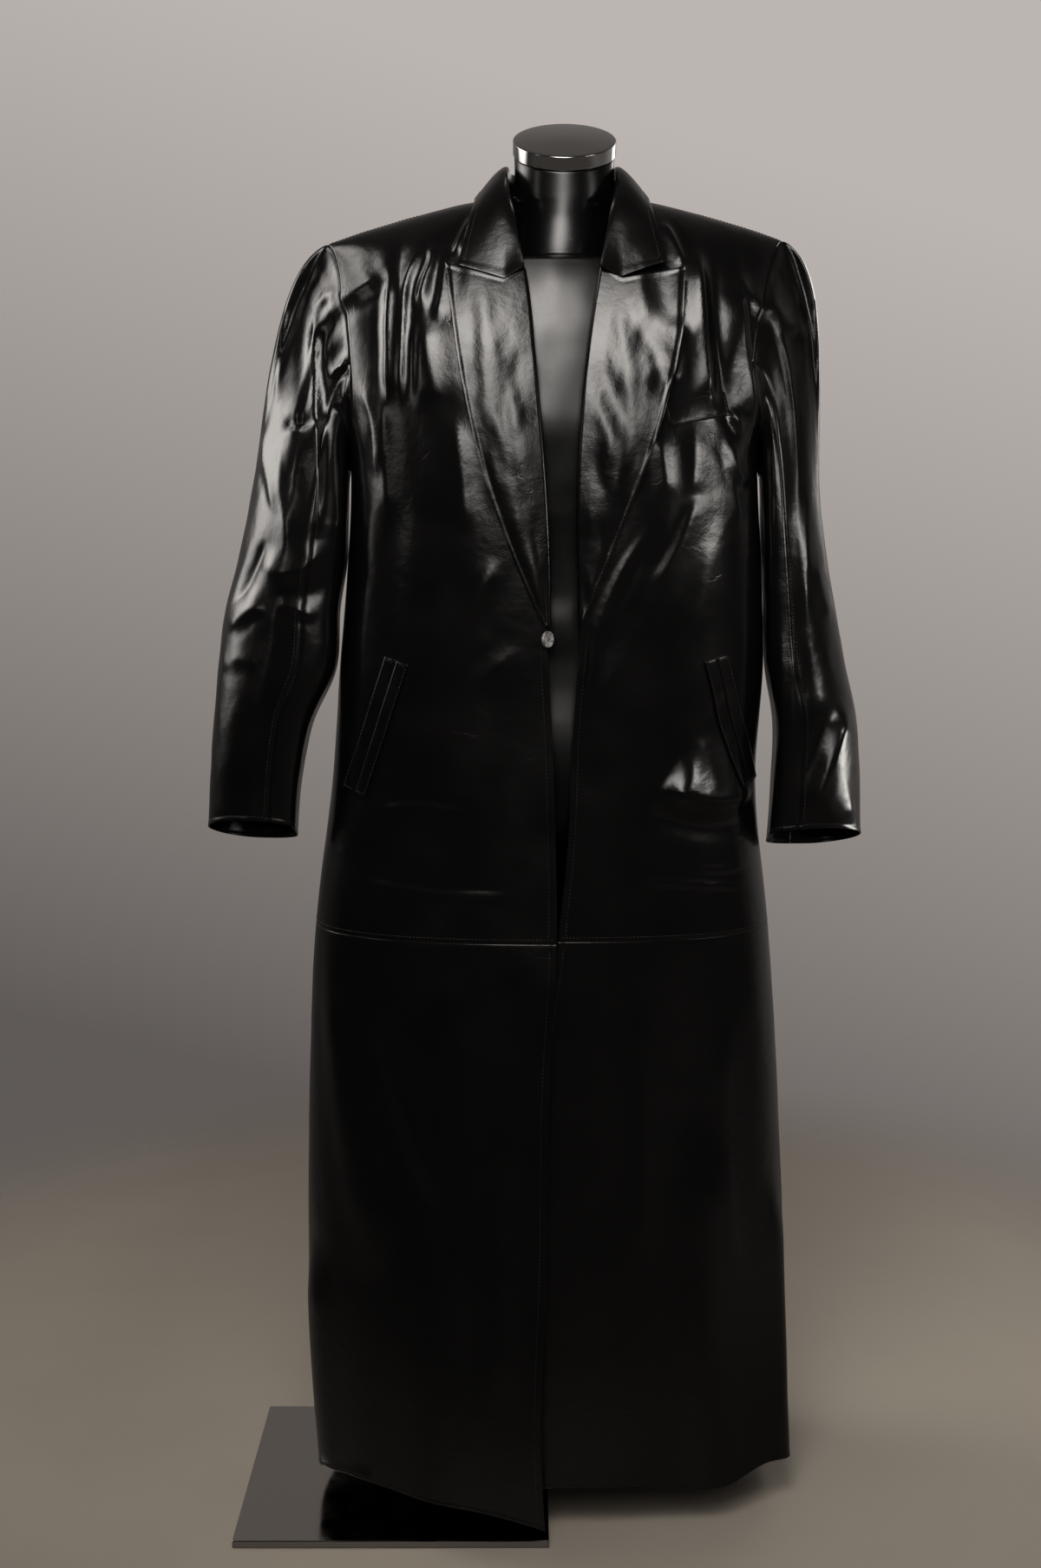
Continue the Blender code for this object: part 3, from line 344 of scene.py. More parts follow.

# %% Creases placed one by one
CREASES = {
    "right": (
        # points (x, height), width, rise, lean
        (((-0.189, 1.440), (-0.187, 1.410), (-0.188, 1.370), (-0.188, 1.330),
          (-0.189, 1.275)), 0.0075, 0.0062, 0.2),
        (((-0.146, 1.460), (-0.160, 1.440), (-0.169, 1.416), (-0.172, 1.375), (-0.174, 1.330),
          (-0.176, 1.270)), 0.0070, 0.0056, -0.2),
        (((-0.143, 1.462), (-0.141, 1.440), (-0.150, 1.412), (-0.156, 1.382)), 0.0065, 0.0040, 0.3),
        (((-0.122, 1.455), (-0.128, 1.425), (-0.132, 1.395), (-0.137, 1.366)), 0.0060, 0.0030, 0.3),
        (((-0.094, 1.494), (-0.106, 1.472), (-0.119, 1.440)), 0.0060, 0.0044, 0.4),
        (((-0.148, 1.372), (-0.144, 1.332), (-0.136, 1.280)), 0.0180, 0.0034, 0.1),
        (((-0.275, 1.392), (-0.240, 1.402), (-0.214, 1.414), (-0.196, 1.428)), 0.0130, 0.0044, 0.4),
        (((-0.196, 1.300), (-0.194, 1.240), (-0.190, 1.150)), 0.0130, 0.0032, 0.2),
        (((-0.118, 1.272), (-0.110, 1.215), (-0.102, 1.140)), 0.0130, 0.0032, -0.2),
        (((-0.222, 1.310), (-0.208, 1.270), (-0.204, 1.200)), 0.0075, 0.0026, 0.2),
        (((-0.036, 1.024), (-0.090, 0.985), (-0.140, 0.905)), 0.0120, 0.0012, 0.3),
        (((-0.070, 1.120), (-0.100, 1.060), (-0.150, 1.010)), 0.0120, 0.0026, -0.3),
        (((-0.205, 0.836), (-0.160, 0.841), (-0.108, 0.836)), 0.0032, 0.0012, 0.4),
        (((-0.228, 0.757), (-0.150, 0.748), (-0.050, 0.746)), 0.0032, 0.0013, -0.4),
        (((-0.130, 0.660), (-0.105, 0.480), (-0.120, 0.300)), 0.0160, 0.0034, 0.2),
        (((-0.210, 0.640), (-0.180, 0.520), (-0.130, 0.380)), 0.0140, 0.0036, 0.3),
        (((-0.060, 0.520), (-0.070, 0.330), (-0.055, 0.150)), 0.0150, 0.0030, -0.2),
    ),
    "left": (
        # points (x, height), width, rise, lean
        (((0.147, 1.458), (0.148, 1.425), (0.150, 1.395), (0.153, 1.350), (0.157, 1.305),
          (0.160, 1.265)), 0.0140, 0.0105, -0.4),
        (((0.200, 1.418), (0.196, 1.390), (0.198, 1.352), (0.205, 1.315), (0.211, 1.278),
          (0.212, 1.240)), 0.0095, 0.0072, -0.4),
        (((0.190, 1.424), (0.203, 1.408), (0.215, 1.396), (0.232, 1.386)), 0.0120, 0.0038, 0.5),
        (((0.110, 1.486), (0.124, 1.457), (0.133, 1.426)), 0.0060, 0.0044, -0.3),
        (((0.128, 1.372), (0.124, 1.331), (0.116, 1.296)), 0.0140, 0.0046, -0.3),
        (((0.184, 1.276), (0.192, 1.266), (0.200, 1.254)), 0.0060, 0.0036, 0.3),
        (((0.186, 1.246), (0.192, 1.217), (0.207, 1.190)), 0.0085, 0.0038, 0.3),
        (((0.178, 1.236), (0.190, 1.192), (0.200, 1.148)), 0.0095, 0.0022, -0.3),
        (((0.142, 1.262), (0.144, 1.225), (0.142, 1.180)), 0.0125, 0.0026, 0.2),
        (((0.104, 1.250), (0.109, 1.215), (0.114, 1.180)), 0.0095, 0.0032, 0.2),
        (((0.100, 1.160), (0.062, 1.100), (0.038, 1.040), (0.026, 0.970),
          (0.021, 0.900)), 0.0045, 0.0020, 0.5),
        (((0.150, 1.190), (0.128, 1.130), (0.098, 1.080)), 0.0090, 0.0022, 0.3),
        (((0.160, 1.140), (0.158, 1.090), (0.140, 1.030)), 0.0120, 0.0010, 0.2),
        (((0.110, 0.870), (0.138, 0.856), (0.170, 0.848), (0.222, 0.852)), 0.0270, 0.0135, 0.45),
        (((0.150, 0.925), (0.162, 0.893), (0.174, 0.852)), 0.0120, 0.0010, -0.3),
        (((0.184, 0.930), (0.187, 0.893), (0.196, 0.854)), 0.0110, 0.0010, 0.3),
        (((0.124, 0.900), (0.140, 0.882), (0.150, 0.856)), 0.0120, 0.0008, -0.3),
        (((0.078, 0.760), (0.150, 0.752), (0.222, 0.743)), 0.0032, 0.0013, 0.4),
        (((0.150, 0.775), (0.185, 0.768), (0.215, 0.772)), 0.0032, 0.0012, -0.4),
        (((0.080, 0.640), (0.095, 0.460), (0.085, 0.300)), 0.0160, 0.0032, 0.2),
        (((0.190, 0.620), (0.186, 0.450), (0.205, 0.260)), 0.0150, 0.0034, -0.2),
    ),
    "back": (
        # points (x, height), width, rise, lean
        (((-0.160, 1.430), (-0.175, 1.330), (-0.165, 1.230)), 0.0080, 0.0044, 0.3),
        (((-0.196, 1.400), (-0.200, 1.320), (-0.190, 1.240)), 0.0065, 0.0036, -0.2),
        (((0.158, 1.435), (0.172, 1.340), (0.168, 1.220)), 0.0080, 0.0046, -0.3),
        (((0.190, 1.410), (0.186, 1.340), (0.200, 1.250)), 0.0065, 0.0036, 0.2),
        (((-0.060, 1.400), (-0.072, 1.300), (-0.060, 1.180)), 0.0120, 0.0034, 0.3),
        (((0.055, 1.380), (0.066, 1.270), (0.050, 1.150)), 0.0120, 0.0032, -0.3),
        (((-0.150, 1.020), (-0.060, 0.995), (0.060, 1.000), (0.150, 1.025)), 0.0110, 0.0042, 0.4),
        (((-0.120, 0.950), (-0.040, 0.930), (0.070, 0.938)), 0.0090, 0.0034, -0.4),
        (((0.060, 0.905), (0.120, 0.890), (0.180, 0.900)), 0.0080, 0.0030, 0.4),
        (((-0.200, 0.756), (-0.080, 0.748), (0.060, 0.752)), 0.0032, 0.0013, 0.4),
        (((-0.090, 0.640), (-0.110, 0.440), (-0.090, 0.250)), 0.0150, 0.0032, -0.2),
        (((0.000, 0.640), (0.020, 0.440), (0.010, 0.250)), 0.0160, 0.0034, 0.2),
        (((0.120, 0.620), (0.130, 0.420), (0.150, 0.230)), 0.0150, 0.0032, 0.2),
    ),
}
CREST_FALL, CREST_ROUND, CREST_TOP = 1.5, 0.06, 0.245
TROUGH_DEPTH, TROUGH_PLACE, CREASE_REACH = 0.25, 2.2, 5


def trail(points, count=14):
    """Places along a smooth line through a few points."""
    points = np.array(points)
    run = np.concatenate([[0], np.cumsum(np.linalg.norm(np.diff(points, axis=0), axis=1))])
    table = np.column_stack([run / run[-1], points])
    t = np.linspace(0, 1, count)
    return np.stack([column(table, t, 1), column(table, t, 2)], axis=-1)


def rumple(rows, x, z):
    """Rise of the creases of a table at places seen from the front; the lean makes one flank gentler."""
    rise = np.zeros(x.shape)
    for points, width, most, lean in rows:
        line = trail(points)
        low, high = line.min(0) - CREASE_REACH * width, line.max(0) + CREASE_REACH * width
        near = (x > low[0]) & (x < high[0]) & (z > low[1]) & (z < high[1])
        px, pz = x[near], z[near]
        away, side, share = np.full(px.shape, np.inf), np.zeros(px.shape), np.zeros(px.shape)
        for i, (a, b) in enumerate(zip(line, line[1:])):
            step = b - a
            t = np.clip(((px - a[0]) * step[0] + (pz - a[1]) * step[1]) / (step @ step), 0, 1)
            ox, oz = px - a[0] - t * step[0], pz - a[1] - t * step[1]
            dist = np.hypot(ox, oz)
            closer = dist < away
            away = np.where(closer, dist, away)
            side = np.where(closer, (step[0] * oz - step[1] * ox) / np.linalg.norm(step) / width, side)
            share = np.where(closer, (i + t) / (len(line) - 1), share)
        q = away / width / (1 + lean * np.tanh(2 * side))
        crest = np.exp(-CREST_FALL * (np.sqrt(q * q + CREST_ROUND) - CREST_TOP))
        trough = TROUGH_DEPTH * np.exp(-(q - TROUGH_PLACE) ** 2)
        ends = fade(0, 0.25, share) * (1 - fade(0.75, 1, share))
        ends = ends * (1 - fade(CREASE_REACH - 1, CREASE_REACH, away / width))
        rise[near] += most * ends * (crest - trough)
    return rise


print({face: len(rows) for face, rows in CREASES.items()}, "creases")

# %% [markdown]
# A hide is never quite even. A slow noise, longer up and down than across because the hide hangs, and a
# quicker one over it, bend the highlights the way a real panel does. Their rise is under a millimetre.

# %% Uneven leather on the block
UNEVEN = (
    # rise, length of the waves, seed
    (0.0008, (0.055, 0.055, 0.120), 3.0),
    (0.0002, (0.018, 0.018, 0.035), 7.0),
)
CALM_FROM, CALM_TO = 1.38, 1.53
TINY = 1e-4


def waver(points, size, seed):
    """Slow unevenness from -1 to 1, with waves about as long as the size."""
    flat = points.reshape(-1, 3) / np.array(size) + seed
    return np.array([noise.noise(Vector(p)) for p in flat]).reshape(points.shape[:-1])


def uneven(rows, points):
    """Rise of several kinds of unevenness together."""
    return sum(rise * waver(points, size, seed) for rise, size, seed in rows)


def unit(ways):
    """The same ways with a length of 1."""
    return ways / np.maximum(np.linalg.norm(ways, axis=-1, keepdims=True), 1e-12)


def upright(near, step_u, step_v):
    """Unit normals from the points and the points a small step away both ways."""
    return unit(np.cross(step_u - near, step_v - near))


def body(face, angle, climb, lift=0.0):
    """A point of the coat's body, with its folds, creases and unevenness, moved out by the lift."""
    near = skin(face, angle, climb)
    normal = upright(near, skin(face, angle + TINY, climb), skin(face, angle, climb + TINY))
    if face == "back":
        normal = -normal
    calm = 1 - fade(CALM_FROM, CALM_TO, np.abs(np.broadcast_to(angle, near.shape[:-1])))
    rise = ridge(FOLDS[face], np.degrees(angle), near[..., 2])
    rise = rise + calm * rumple(CREASES[face], near[..., 0], near[..., 2]) + uneven(UNEVEN, near)
    return near + normal * (rise + lift)[..., None]


print("unevenness", [rise for rise, size, seed in UNEVEN], "m")

# %% Edges and seams of the panels
# The solids keep the whole gap of a seam; at a joined seam of the leather less of it shows
JOIN, SHOULDER_GAP = SEAM / 6, SEAM * 1.2
EDGE_RIGHT = np.array([
    # height, x
    (0.000, -0.015), (0.090, -0.021), (0.330, -0.016), (0.530, -0.013), (0.690, -0.005),
    (0.830, -0.007), (0.920, -0.010), (1.010, -0.015), (1.120, -0.017), (1.194, -0.021),
    (1.323, -0.032), (1.420, -0.042), (1.470, -0.052), (1.500, -0.066), (1.515, -0.078),
])
EDGE_LEFT = np.array([
    # height, x
    (0.000, -0.032), (0.330, -0.030), (0.530, -0.024), (0.690, -0.004), (0.810, 0.008),
    (0.920, 0.012), (1.044, 0.021), (1.194, 0.020), (1.295, 0.026), (1.423, 0.044),
    (1.470, 0.053), (1.500, 0.066), (1.515, 0.078),
])
ARMHOLE_RIGHT = np.array([
    # climb, front, back
    (1.215, 90.0, 90.0), (1.235, 75.0, 76.0), (1.270, 66.0, 67.0), (1.320, 63.0, 64.0),
    (1.390, 65.0, 65.5), (1.460, 71.0, 71.0), (1.515, 79.0, 79.0),
])
ARMHOLE_LEFT = np.array([
    # climb, front, back
    (1.215, 90.0, 90.0), (1.235, 73.0, 76.0), (1.270, 61.0, 66.0), (1.320, 58.0, 63.0),
    (1.390, 62.0, 65.0), (1.460, 70.0, 71.0), (1.515, 79.0, 79.0),
])


def angle_of(x, level):
    """The angle round the body at which a section passes x."""
    share = np.clip(np.abs(x) / half_width(x, level), 0, 1)
    return np.sign(x) * np.arctan2(share, (1 - share ** ROUNDNESS) ** (1 / ROUNDNESS))


def climb_of(level):
    """The climb that reaches a height."""
    share = np.clip((level - UNDERARM) / (SHOULDER - UNDERARM), 0, 1)
    return np.where(share > 0, UNDERARM + (SHOULDER - UNDERARM) * np.arcsin(share) * 2 / math.pi, level)


def side_of(face, climb):
    """The angle at which a panel ends: the side seam, and the armhole above it."""
    table = ARMHOLE_RIGHT if "right" in face else ARMHOLE_LEFT
    sign = -1 if "right" in face else 1
    end = sign * np.radians(column(table, climb, 2 if "back" in face else 1))
    end = np.where(climb <= UNDERARM, sign * math.pi / 2, end)
    return end - sign * JOIN / SIDE_DEPTH


def edge_of(face, climb):
    """The angle at which a front panel begins: the front edge, and the roll line above it."""
    level = level_of(climb)
    return angle_of(column(EDGE_RIGHT if face == "right" else EDGE_LEFT, level), level)


def neck_share(side):
    """Where the neck point is on the way from the middle of the back to the shoulder tip."""
    tip = side_of("back right" if side < 0 else "back left", np.array(SHOULDER))
    return float(angle_of(np.array(side * NECK_POINT), np.array(SHOULDER)) / tip)


def on_front(face, x, height, lift):
    """A point on a front panel at a place seen from the front, moved out by the lift."""
    level = np.asarray(height, float)
    for _ in range(6):
        level = height + drop(x, level)
    return body(face, angle_of(x, level), climb_of(level), lift)


print("neck points at", [round(neck_share(side), 3) for side in (-1, 1)], "of the way to the shoulder tips")

# %% [markdown]
# ## Laying a panel
# A panel is a fine grid of points on the block. Where its edge is turned in and stitched down, the double
# leather stands 0.5 mm higher and the thread pulls a groove; where two panels are joined, both dip into the
# seam. The grid has close lines beside each edge for this. Solidify then gives the leather its thickness on
# the inside, and a small bevel takes the knife edge off its rim.

# %% From a grid of points to a leather sheet
CLOSE = np.array([0, 0.0010, 0.0020, 0.0030, 0.0040, 0.0050, 0.0063, 0.0085])
EDGE_ZONE = 0.012
TURN_RISE, TURN_FROM, TURN_TO = 0.0005, 0.0020, 0.0065
GROOVE, GROOVE_PLACE, GROOVE_WIDTH = 0.0002, 0.0050, 0.0014
ALLOWANCE, ALLOWANCE_PLACE, ALLOWANCE_WIDTH = 0.0002, 0.0045, 0.0030
DIP, DIP_WIDTH = 0.0006, 0.0015
RIM, RIM_ANGLE = 0.0003, math.radians(55)
pieces = {}


def spaced(low, high, step):
    """Even places from low to high, with close ones beside each end for the turned or sewn edge."""
    count = max(2, round((high - low - 2 * EDGE_ZONE) / step))
    inner = np.linspace(low + EDGE_ZONE, high - EDGE_ZONE, count)
    return np.concatenate([low + CLOSE, inner, high - CLOSE[::-1]])


def turned_in(far):
    """Rise of an edge that is turned in and stitched, at a distance from it."""
    groove = GROOVE * np.exp(-((far - GROOVE_PLACE) / GROOVE_WIDTH) ** 2)
    return TURN_RISE * (1 - fade(TURN_FROM, TURN_TO, far)) - groove


def sewn(far):
    """Rise beside a seam: the dip of the join, and the seam allowance that lies under it."""
    allowance = ALLOWANCE * np.exp(-((far - ALLOWANCE_PLACE) / ALLOWANCE_WIDTH) ** 2)
    return allowance - DIP * np.exp(-(far / DIP_WIDTH) ** 2)


def lay(name, us, vs, place):
    """A sheet whose grid of points is place(u, v, lift), with its faces turned outwards."""
    u, v = np.meshgrid(us, vs)
    points = place(u, v, np.zeros(u.shape))
    out = place(u, v, np.full(u.shape, 0.001)) - points
    index = np.arange(u.size).reshape(u.shape)
    quads = np.stack([index[:-1, :-1], index[:-1, 1:], index[1:, 1:], index[1:, :-1]], axis=-1)
    across, up = points[:-1, 1:] - points[:-1, :-1], points[1:, :-1] - points[:-1, :-1]
    if (np.cross(across, up) * out[:-1, :-1]).sum() < 0:
        quads = quads[..., ::-1]
    mesh = bpy.data.meshes.new(name)
    mesh.from_pydata((points + (BODY_X, 0, 0)).reshape(-1, 3).tolist(), [], quads.reshape(-1, 4).tolist())
    made = bpy.data.objects.new(name, mesh)
    bpy.context.scene.collection.objects.link(made)
    return made


def finish_leather(made, node):
    """Thickness, a soft rim, the leather finish, and the CAD node that this sheet stands for."""
    wall = made.modifiers.new("thickness", "SOLIDIFY")
    wall.thickness, wall.offset = WALL, -1
    rim = made.modifiers.new("rim", "BEVEL")
    rim.width, rim.segments, rim.limit_method, rim.angle_limit = RIM, 2, "ANGLE", RIM_ANGLE
    made.data.materials.append(leather)
    made.data.shade_smooth()
    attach(made, "root")
    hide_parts(node)
    pieces[node] = made
    print(made.name, len(made.data.polygons), "faces before thickness")
    return made


print("leather", WALL, "m thick, with", len(CLOSE), "close lines beside each edge")

# %% [markdown]
# ## Fronts
# Each front is cut in two at thigh height, so it is two panels. The upper one runs from the cross seam to
# the shoulder, with the front edge and the roll line on one side and the side seam and armhole on the
# other.

# %% Upper fronts
FRONT_WIDTH, EDGE_TOP = 0.25, (0.99, 1.03)
FRONT_STEP, UPPER_STEP = 0.0030, 0.0038
CROSS_RELIEF, HEM_RELIEF = 0.35, 0.6


def stretched(v, top):
    """The climb of a row, with the rows above the underarm spread out up to the top edge."""
    above = UNDERARM + (v - UNDERARM) * (top - UNDERARM) / (SHOULDER - UNDERARM)
    return np.maximum(np.where(v <= UNDERARM, v, above), CROSS_SEAM + JOIN)


def front_upper(face):
    """The place function of a front panel above the cross seam."""
    def place(u, v, lift):
        far = u * FRONT_WIDTH
        climb = stretched(v, SHOULDER - SEAM_FORWARD * (1 - u) - SHOULDER_GAP)
        angle = edge_of(face, climb) * (1 - u) + side_of(face, climb) * u
        relief = turned_in(far) * (1 - fade(*EDGE_TOP, v)) + sewn(FRONT_WIDTH - far)
        relief = relief + CROSS_RELIEF * sewn(v - CROSS_SEAM) + sewn(SHOULDER - v)
        return body(face, angle, climb, lift + relief)
    return place


panel_columns = spaced(0, FRONT_WIDTH, FRONT_STEP) / FRONT_WIDTH
upper_rows = spaced(CROSS_SEAM, SHOULDER, UPPER_STEP)
for face in ("right", "left"):
    made = lay(f"leather_front_upper_{face}", panel_columns, upper_rows, front_upper(face))
    finish_leather(made, f"front_upper_{face}")

# %% Lower fronts
HEM = {
    "right": np.array([
        # degrees, height
        (0.0, 0.022), (12.0, 0.040), (30.0, 0.058), (50.0, 0.062), (70.0, 0.054), (90.0, 0.052),
    ]),
    "left": np.array([
        # degrees, height
        (0.0, 0.052), (20.0, 0.052), (38.0, 0.046), (55.0, 0.056), (72.0, 0.050), (90.0, 0.058),
    ]),
    "back": np.array([
        # degrees, height
        (-90.0, 0.052), (-45.0, 0.046), (0.0, 0.050), (45.0, 0.046), (90.0, 0.058),
    ]),
}
LOWER_WIDTH, LOWER_LENGTH = 0.29, 0.64
LOWER_STEP_ROUND, LOWER_STEP_UP = 0.0048, 0.0052


def front_lower(face):
    """The place function of a front panel below the cross seam; v runs from the hem to the seam."""
    def place(u, v, lift):
        top = CROSS_SEAM - JOIN
        climb = np.full(u.shape, top)
        for _ in range(2):
            angle = edge_of(face, climb) * (1 - u) + side_of(face, climb) * u
            low = column(HEM[face], np.clip(np.abs(np.degrees(angle)), 0, 90))
            climb = low + (top - low) * v
        angle = edge_of(face, climb) * (1 - u) + side_of(face, climb) * u
        relief = turned_in(u * LOWER_WIDTH) + sewn((1 - u) * LOWER_WIDTH)
        relief = relief + CROSS_RELIEF * sewn((1 - v) * LOWER_LENGTH)
        relief = relief + HEM_RELIEF * turned_in(v * LOWER_LENGTH)
        return body(face, angle, climb, lift + relief)
    return place


lower_columns = spaced(0, LOWER_WIDTH, LOWER_STEP_ROUND) / LOWER_WIDTH
lower_rows = spaced(0, LOWER_LENGTH, LOWER_STEP_UP) / LOWER_LENGTH
for face in ("right", "left"):
    made = lay(f"leather_front_lower_{face}", lower_columns, lower_rows, front_lower(face))
    finish_leather(made, f"front_lower_{face}")

# %% [markdown]
# ## Back
# The back is one wide panel above the cross seam and one below it. Its upper edge runs over the shoulder to
# the seam with the front, and hollows out round the neck under the collar.

# %% Back panels
BACK_HALF, BACK_LOWER_HALF, NECK_CORNER = 0.27, 0.33, 6
BACK_STEP, BACK_LOWER_STEP = 0.0055, 0.0052
NECK_COLUMNS = np.array([0.97, 0.985, 1.0, 1.02])


def back_upper(u, v, lift):
    """The place function of the back above the cross seam; u runs from -1 to 1."""
    neck = np.where(u < 0, neck_share(-1), neck_share(1))
    share = np.clip((np.abs(u) - neck) / (1 - neck), 0, 1)
    inside = np.clip(np.abs(u) / neck, 0, 1)
    hollow = np.arccos(np.clip(BACK_NECK_DEPTH / BACK_DEPTH * np.sqrt(1 - inside ** 2), 0, 1)) * 2 / math.pi
    neckline = UNDERARM + (SHOULDER - UNDERARM) * hollow + SEAM_FORWARD * inside ** NECK_CORNER
    climb = stretched(v, np.where(inside < 1, neckline, SHOULDER + SEAM_FORWARD * (1 - share) - SHOULDER_GAP))
    angle = np.where(u < 0, -side_of("back right", climb), side_of("back left", climb)) * u
    relief = sewn((1 - np.abs(u)) * BACK_HALF) + CROSS_RELIEF * sewn(v - CROSS_SEAM) + sewn(SHOULDER - v)
    return body("back", angle, climb, lift + relief)


def back_lower(u, v, lift):
    """The place function of the back below the cross seam; u runs from -1 to 1 and v from the hem up."""
    side = (math.pi / 2 - JOIN / SIDE_DEPTH) * u
    low = column(HEM["back"], np.degrees(side))
    relief = sewn((1 - np.abs(u)) * BACK_LOWER_HALF) + CROSS_RELIEF * sewn((1 - v) * LOWER_LENGTH)
    relief = relief + HEM_RELIEF * turned_in(v * LOWER_LENGTH)
    return body("back", side, low + (CROSS_SEAM - JOIN - low) * v, lift + relief)


def back_columns(width, step, more):
    """Columns from the right side to the left: close ones at the sides, even ones between, and some more."""
    half = np.unique(np.concatenate([spaced(0, width, step)[len(CLOSE):] / width, more]))
    return np.concatenate([-half[:0:-1], half])


neck_points = np.concatenate([neck_share(side) * NECK_COLUMNS for side in (-1, 1)])
upper_columns = back_columns(BACK_HALF, BACK_STEP, [0, 0.02, *neck_points])
made = lay("leather_back_upper", upper_columns, upper_rows, back_upper)
finish_leather(made, "back_upper")
back_lower_columns = back_columns(BACK_LOWER_HALF, BACK_LOWER_STEP, [0, 0.015])
made = lay("leather_back_lower", back_lower_columns, lower_rows, back_lower)
finish_leather(made, "back_lower")

# %% [markdown]
# ## Sleeves
# A two-piece sleeve: a wide top sleeve that faces out and a narrow under sleeve that faces the body. It
# starts on the armhole's edge and swings over into a hanging tube. The empty arm buckles at the elbow, so
# most creases cross it there. They are placed as seen from the front, and the back of the arm repeats them
# 24 mm lower.

# %% Shape of a sleeve
SLEEVE = {
    "right": np.array([
        # height, outer, inner, middle y, half depth
        (0.800, -0.411, -0.304, -0.020, 0.046), (0.870, -0.408, -0.297, -0.016, 0.054),
        (0.930, -0.404, -0.284, -0.012, 0.062), (0.985, -0.399, -0.2580, -0.008, 0.070),
        (1.060, -0.389, -0.2520, 0.000, 0.076), (1.100, -0.379, -0.2454, 0.005, 0.079),
        (1.150, -0.367, -0.2424, 0.007, 0.082),
    ]),
    "left": np.array([
        # height, outer, inner, middle y, half depth
        (0.792, 0.353, 0.241, -0.020, 0.050), (0.870, 0.351, 0.246, -0.016, 0.058),
        (0.930, 0.346, 0.2470, -0.013, 0.062), (0.990, 0.333, 0.2370, -0.010, 0.062),
        (1.060, 0.319, 0.2346, -0.007, 0.062), (1.150, 0.304, 0.2308, -0.005, 0.062),
    ]),
}
SLEEVE_FOLDS = {
    "right": (
        # from round, from height, to round, to height, half width, rise
        (100.0, 1.330, 96.0, 1.030, 14.0, 0.0045),
    ),
    "left": (
        # from round, from height, to round, to height, half width, rise
        (60.0, 1.300, 62.0, 1.120, 14.0, 0.0008),
    ),
}
SLEEVE_CREASES = {
    "right": (
        # points (x, height), width, rise, lean
        (((-0.276, 1.410), (-0.276, 1.347), (-0.275, 1.294), (-0.272, 1.249), (-0.271, 1.181),
          (-0.274, 1.125)), 0.0060, 0.0046, -0.2),
        (((-0.278, 1.392), (-0.262, 1.406), (-0.246, 1.408), (-0.230, 1.402)), 0.0075, 0.0026, 0.5),
        (((-0.317, 1.264), (-0.294, 1.263), (-0.270, 1.266)), 0.0048, -0.0040, 0.3),
        (((-0.338, 1.270), (-0.340, 1.229), (-0.329, 1.193), (-0.322, 1.160)), 0.0065, 0.0030, 0.4),
        (((-0.316, 1.250), (-0.316, 1.210), (-0.308, 1.150), (-0.301, 1.110)), 0.0085, 0.0026, -0.2),
        (((-0.312, 1.400), (-0.318, 1.340), (-0.322, 1.285)), 0.0100, 0.0030, 0.2),
        (((-0.260, 1.316), (-0.242, 1.328), (-0.224, 1.336)), 0.0055, 0.0042, 0.4),
        (((-0.253, 1.278), (-0.238, 1.296), (-0.224, 1.314)), 0.0055, 0.0042, 0.4),
        (((-0.345, 1.116), (-0.312, 1.098), (-0.282, 1.106), (-0.266, 1.138)), 0.0170, 0.0046, 0.2),
        (((-0.332, 1.142), (-0.348, 1.104), (-0.376, 1.056)), 0.0080, -0.0034, 0.2),
        (((-0.382, 1.030), (-0.358, 1.052), (-0.332, 1.062)), 0.0100, 0.0030, 0.4),
        (((-0.320, 1.066), (-0.297, 1.057), (-0.272, 1.049)), 0.0080, 0.0022, 0.4),
        (((-0.392, 0.985), (-0.366, 1.000), (-0.340, 0.992)), 0.0120, 0.0016, 0.4),
        (((-0.345, 0.930), (-0.352, 0.880), (-0.348, 0.815)), 0.0110, 0.0020, 0.3),
    ),
    "left": (
        # points (x, height), width, rise, lean
        (((0.206, 1.388), (0.248, 1.372), (0.296, 1.352)), 0.0300, 0.0028, 0.2),
        (((0.222, 1.400), (0.236, 1.394), (0.247, 1.380), (0.256, 1.372), (0.266, 1.373),
          (0.280, 1.364)), 0.0120, 0.0040, 0.5),
        (((0.279, 1.206), (0.278, 1.150), (0.277, 1.090), (0.277, 1.030)), 0.0080, 0.0014, 0.3),
        (((0.288, 1.110), (0.298, 1.075), (0.309, 1.040)), 0.0085, 0.0020, 0.3),
        (((0.300, 1.020), (0.308, 0.990), (0.318, 0.965)), 0.0080, 0.0008, -0.3),
        (((0.330, 0.950), (0.319, 0.924), (0.306, 0.885), (0.293, 0.845),
          (0.288, 0.815)), 0.0180, 0.0102, 0.5),
        (((0.290, 0.834), (0.318, 0.826), (0.345, 0.832)), 0.0240, 0.0034, 0.6),
        (((0.247, 1.040), (0.251, 0.962), (0.256, 0.840)), 0.0070, 0.0024, 0.2),
        (((0.261, 1.030), (0.264, 0.940), (0.268, 0.850)), 0.0070, 0.0022, -0.2),
    ),
}
SLEEVE_UNEVEN = (
    # rise, length of the waves, seed
    (0.0010, (0.050, 0.050, 0.080), 5.0),
    (0.0004, (0.018, 0.018, 0.030), 9.0),
)
CAP_PUCKER = (
    # rise, length of the waves, seed
    (0.0005, (0.010, 0.010, 0.012), 17.0),
)
CUFF_TILT, BACK_CREASE_DROP = 0.016, 0.024
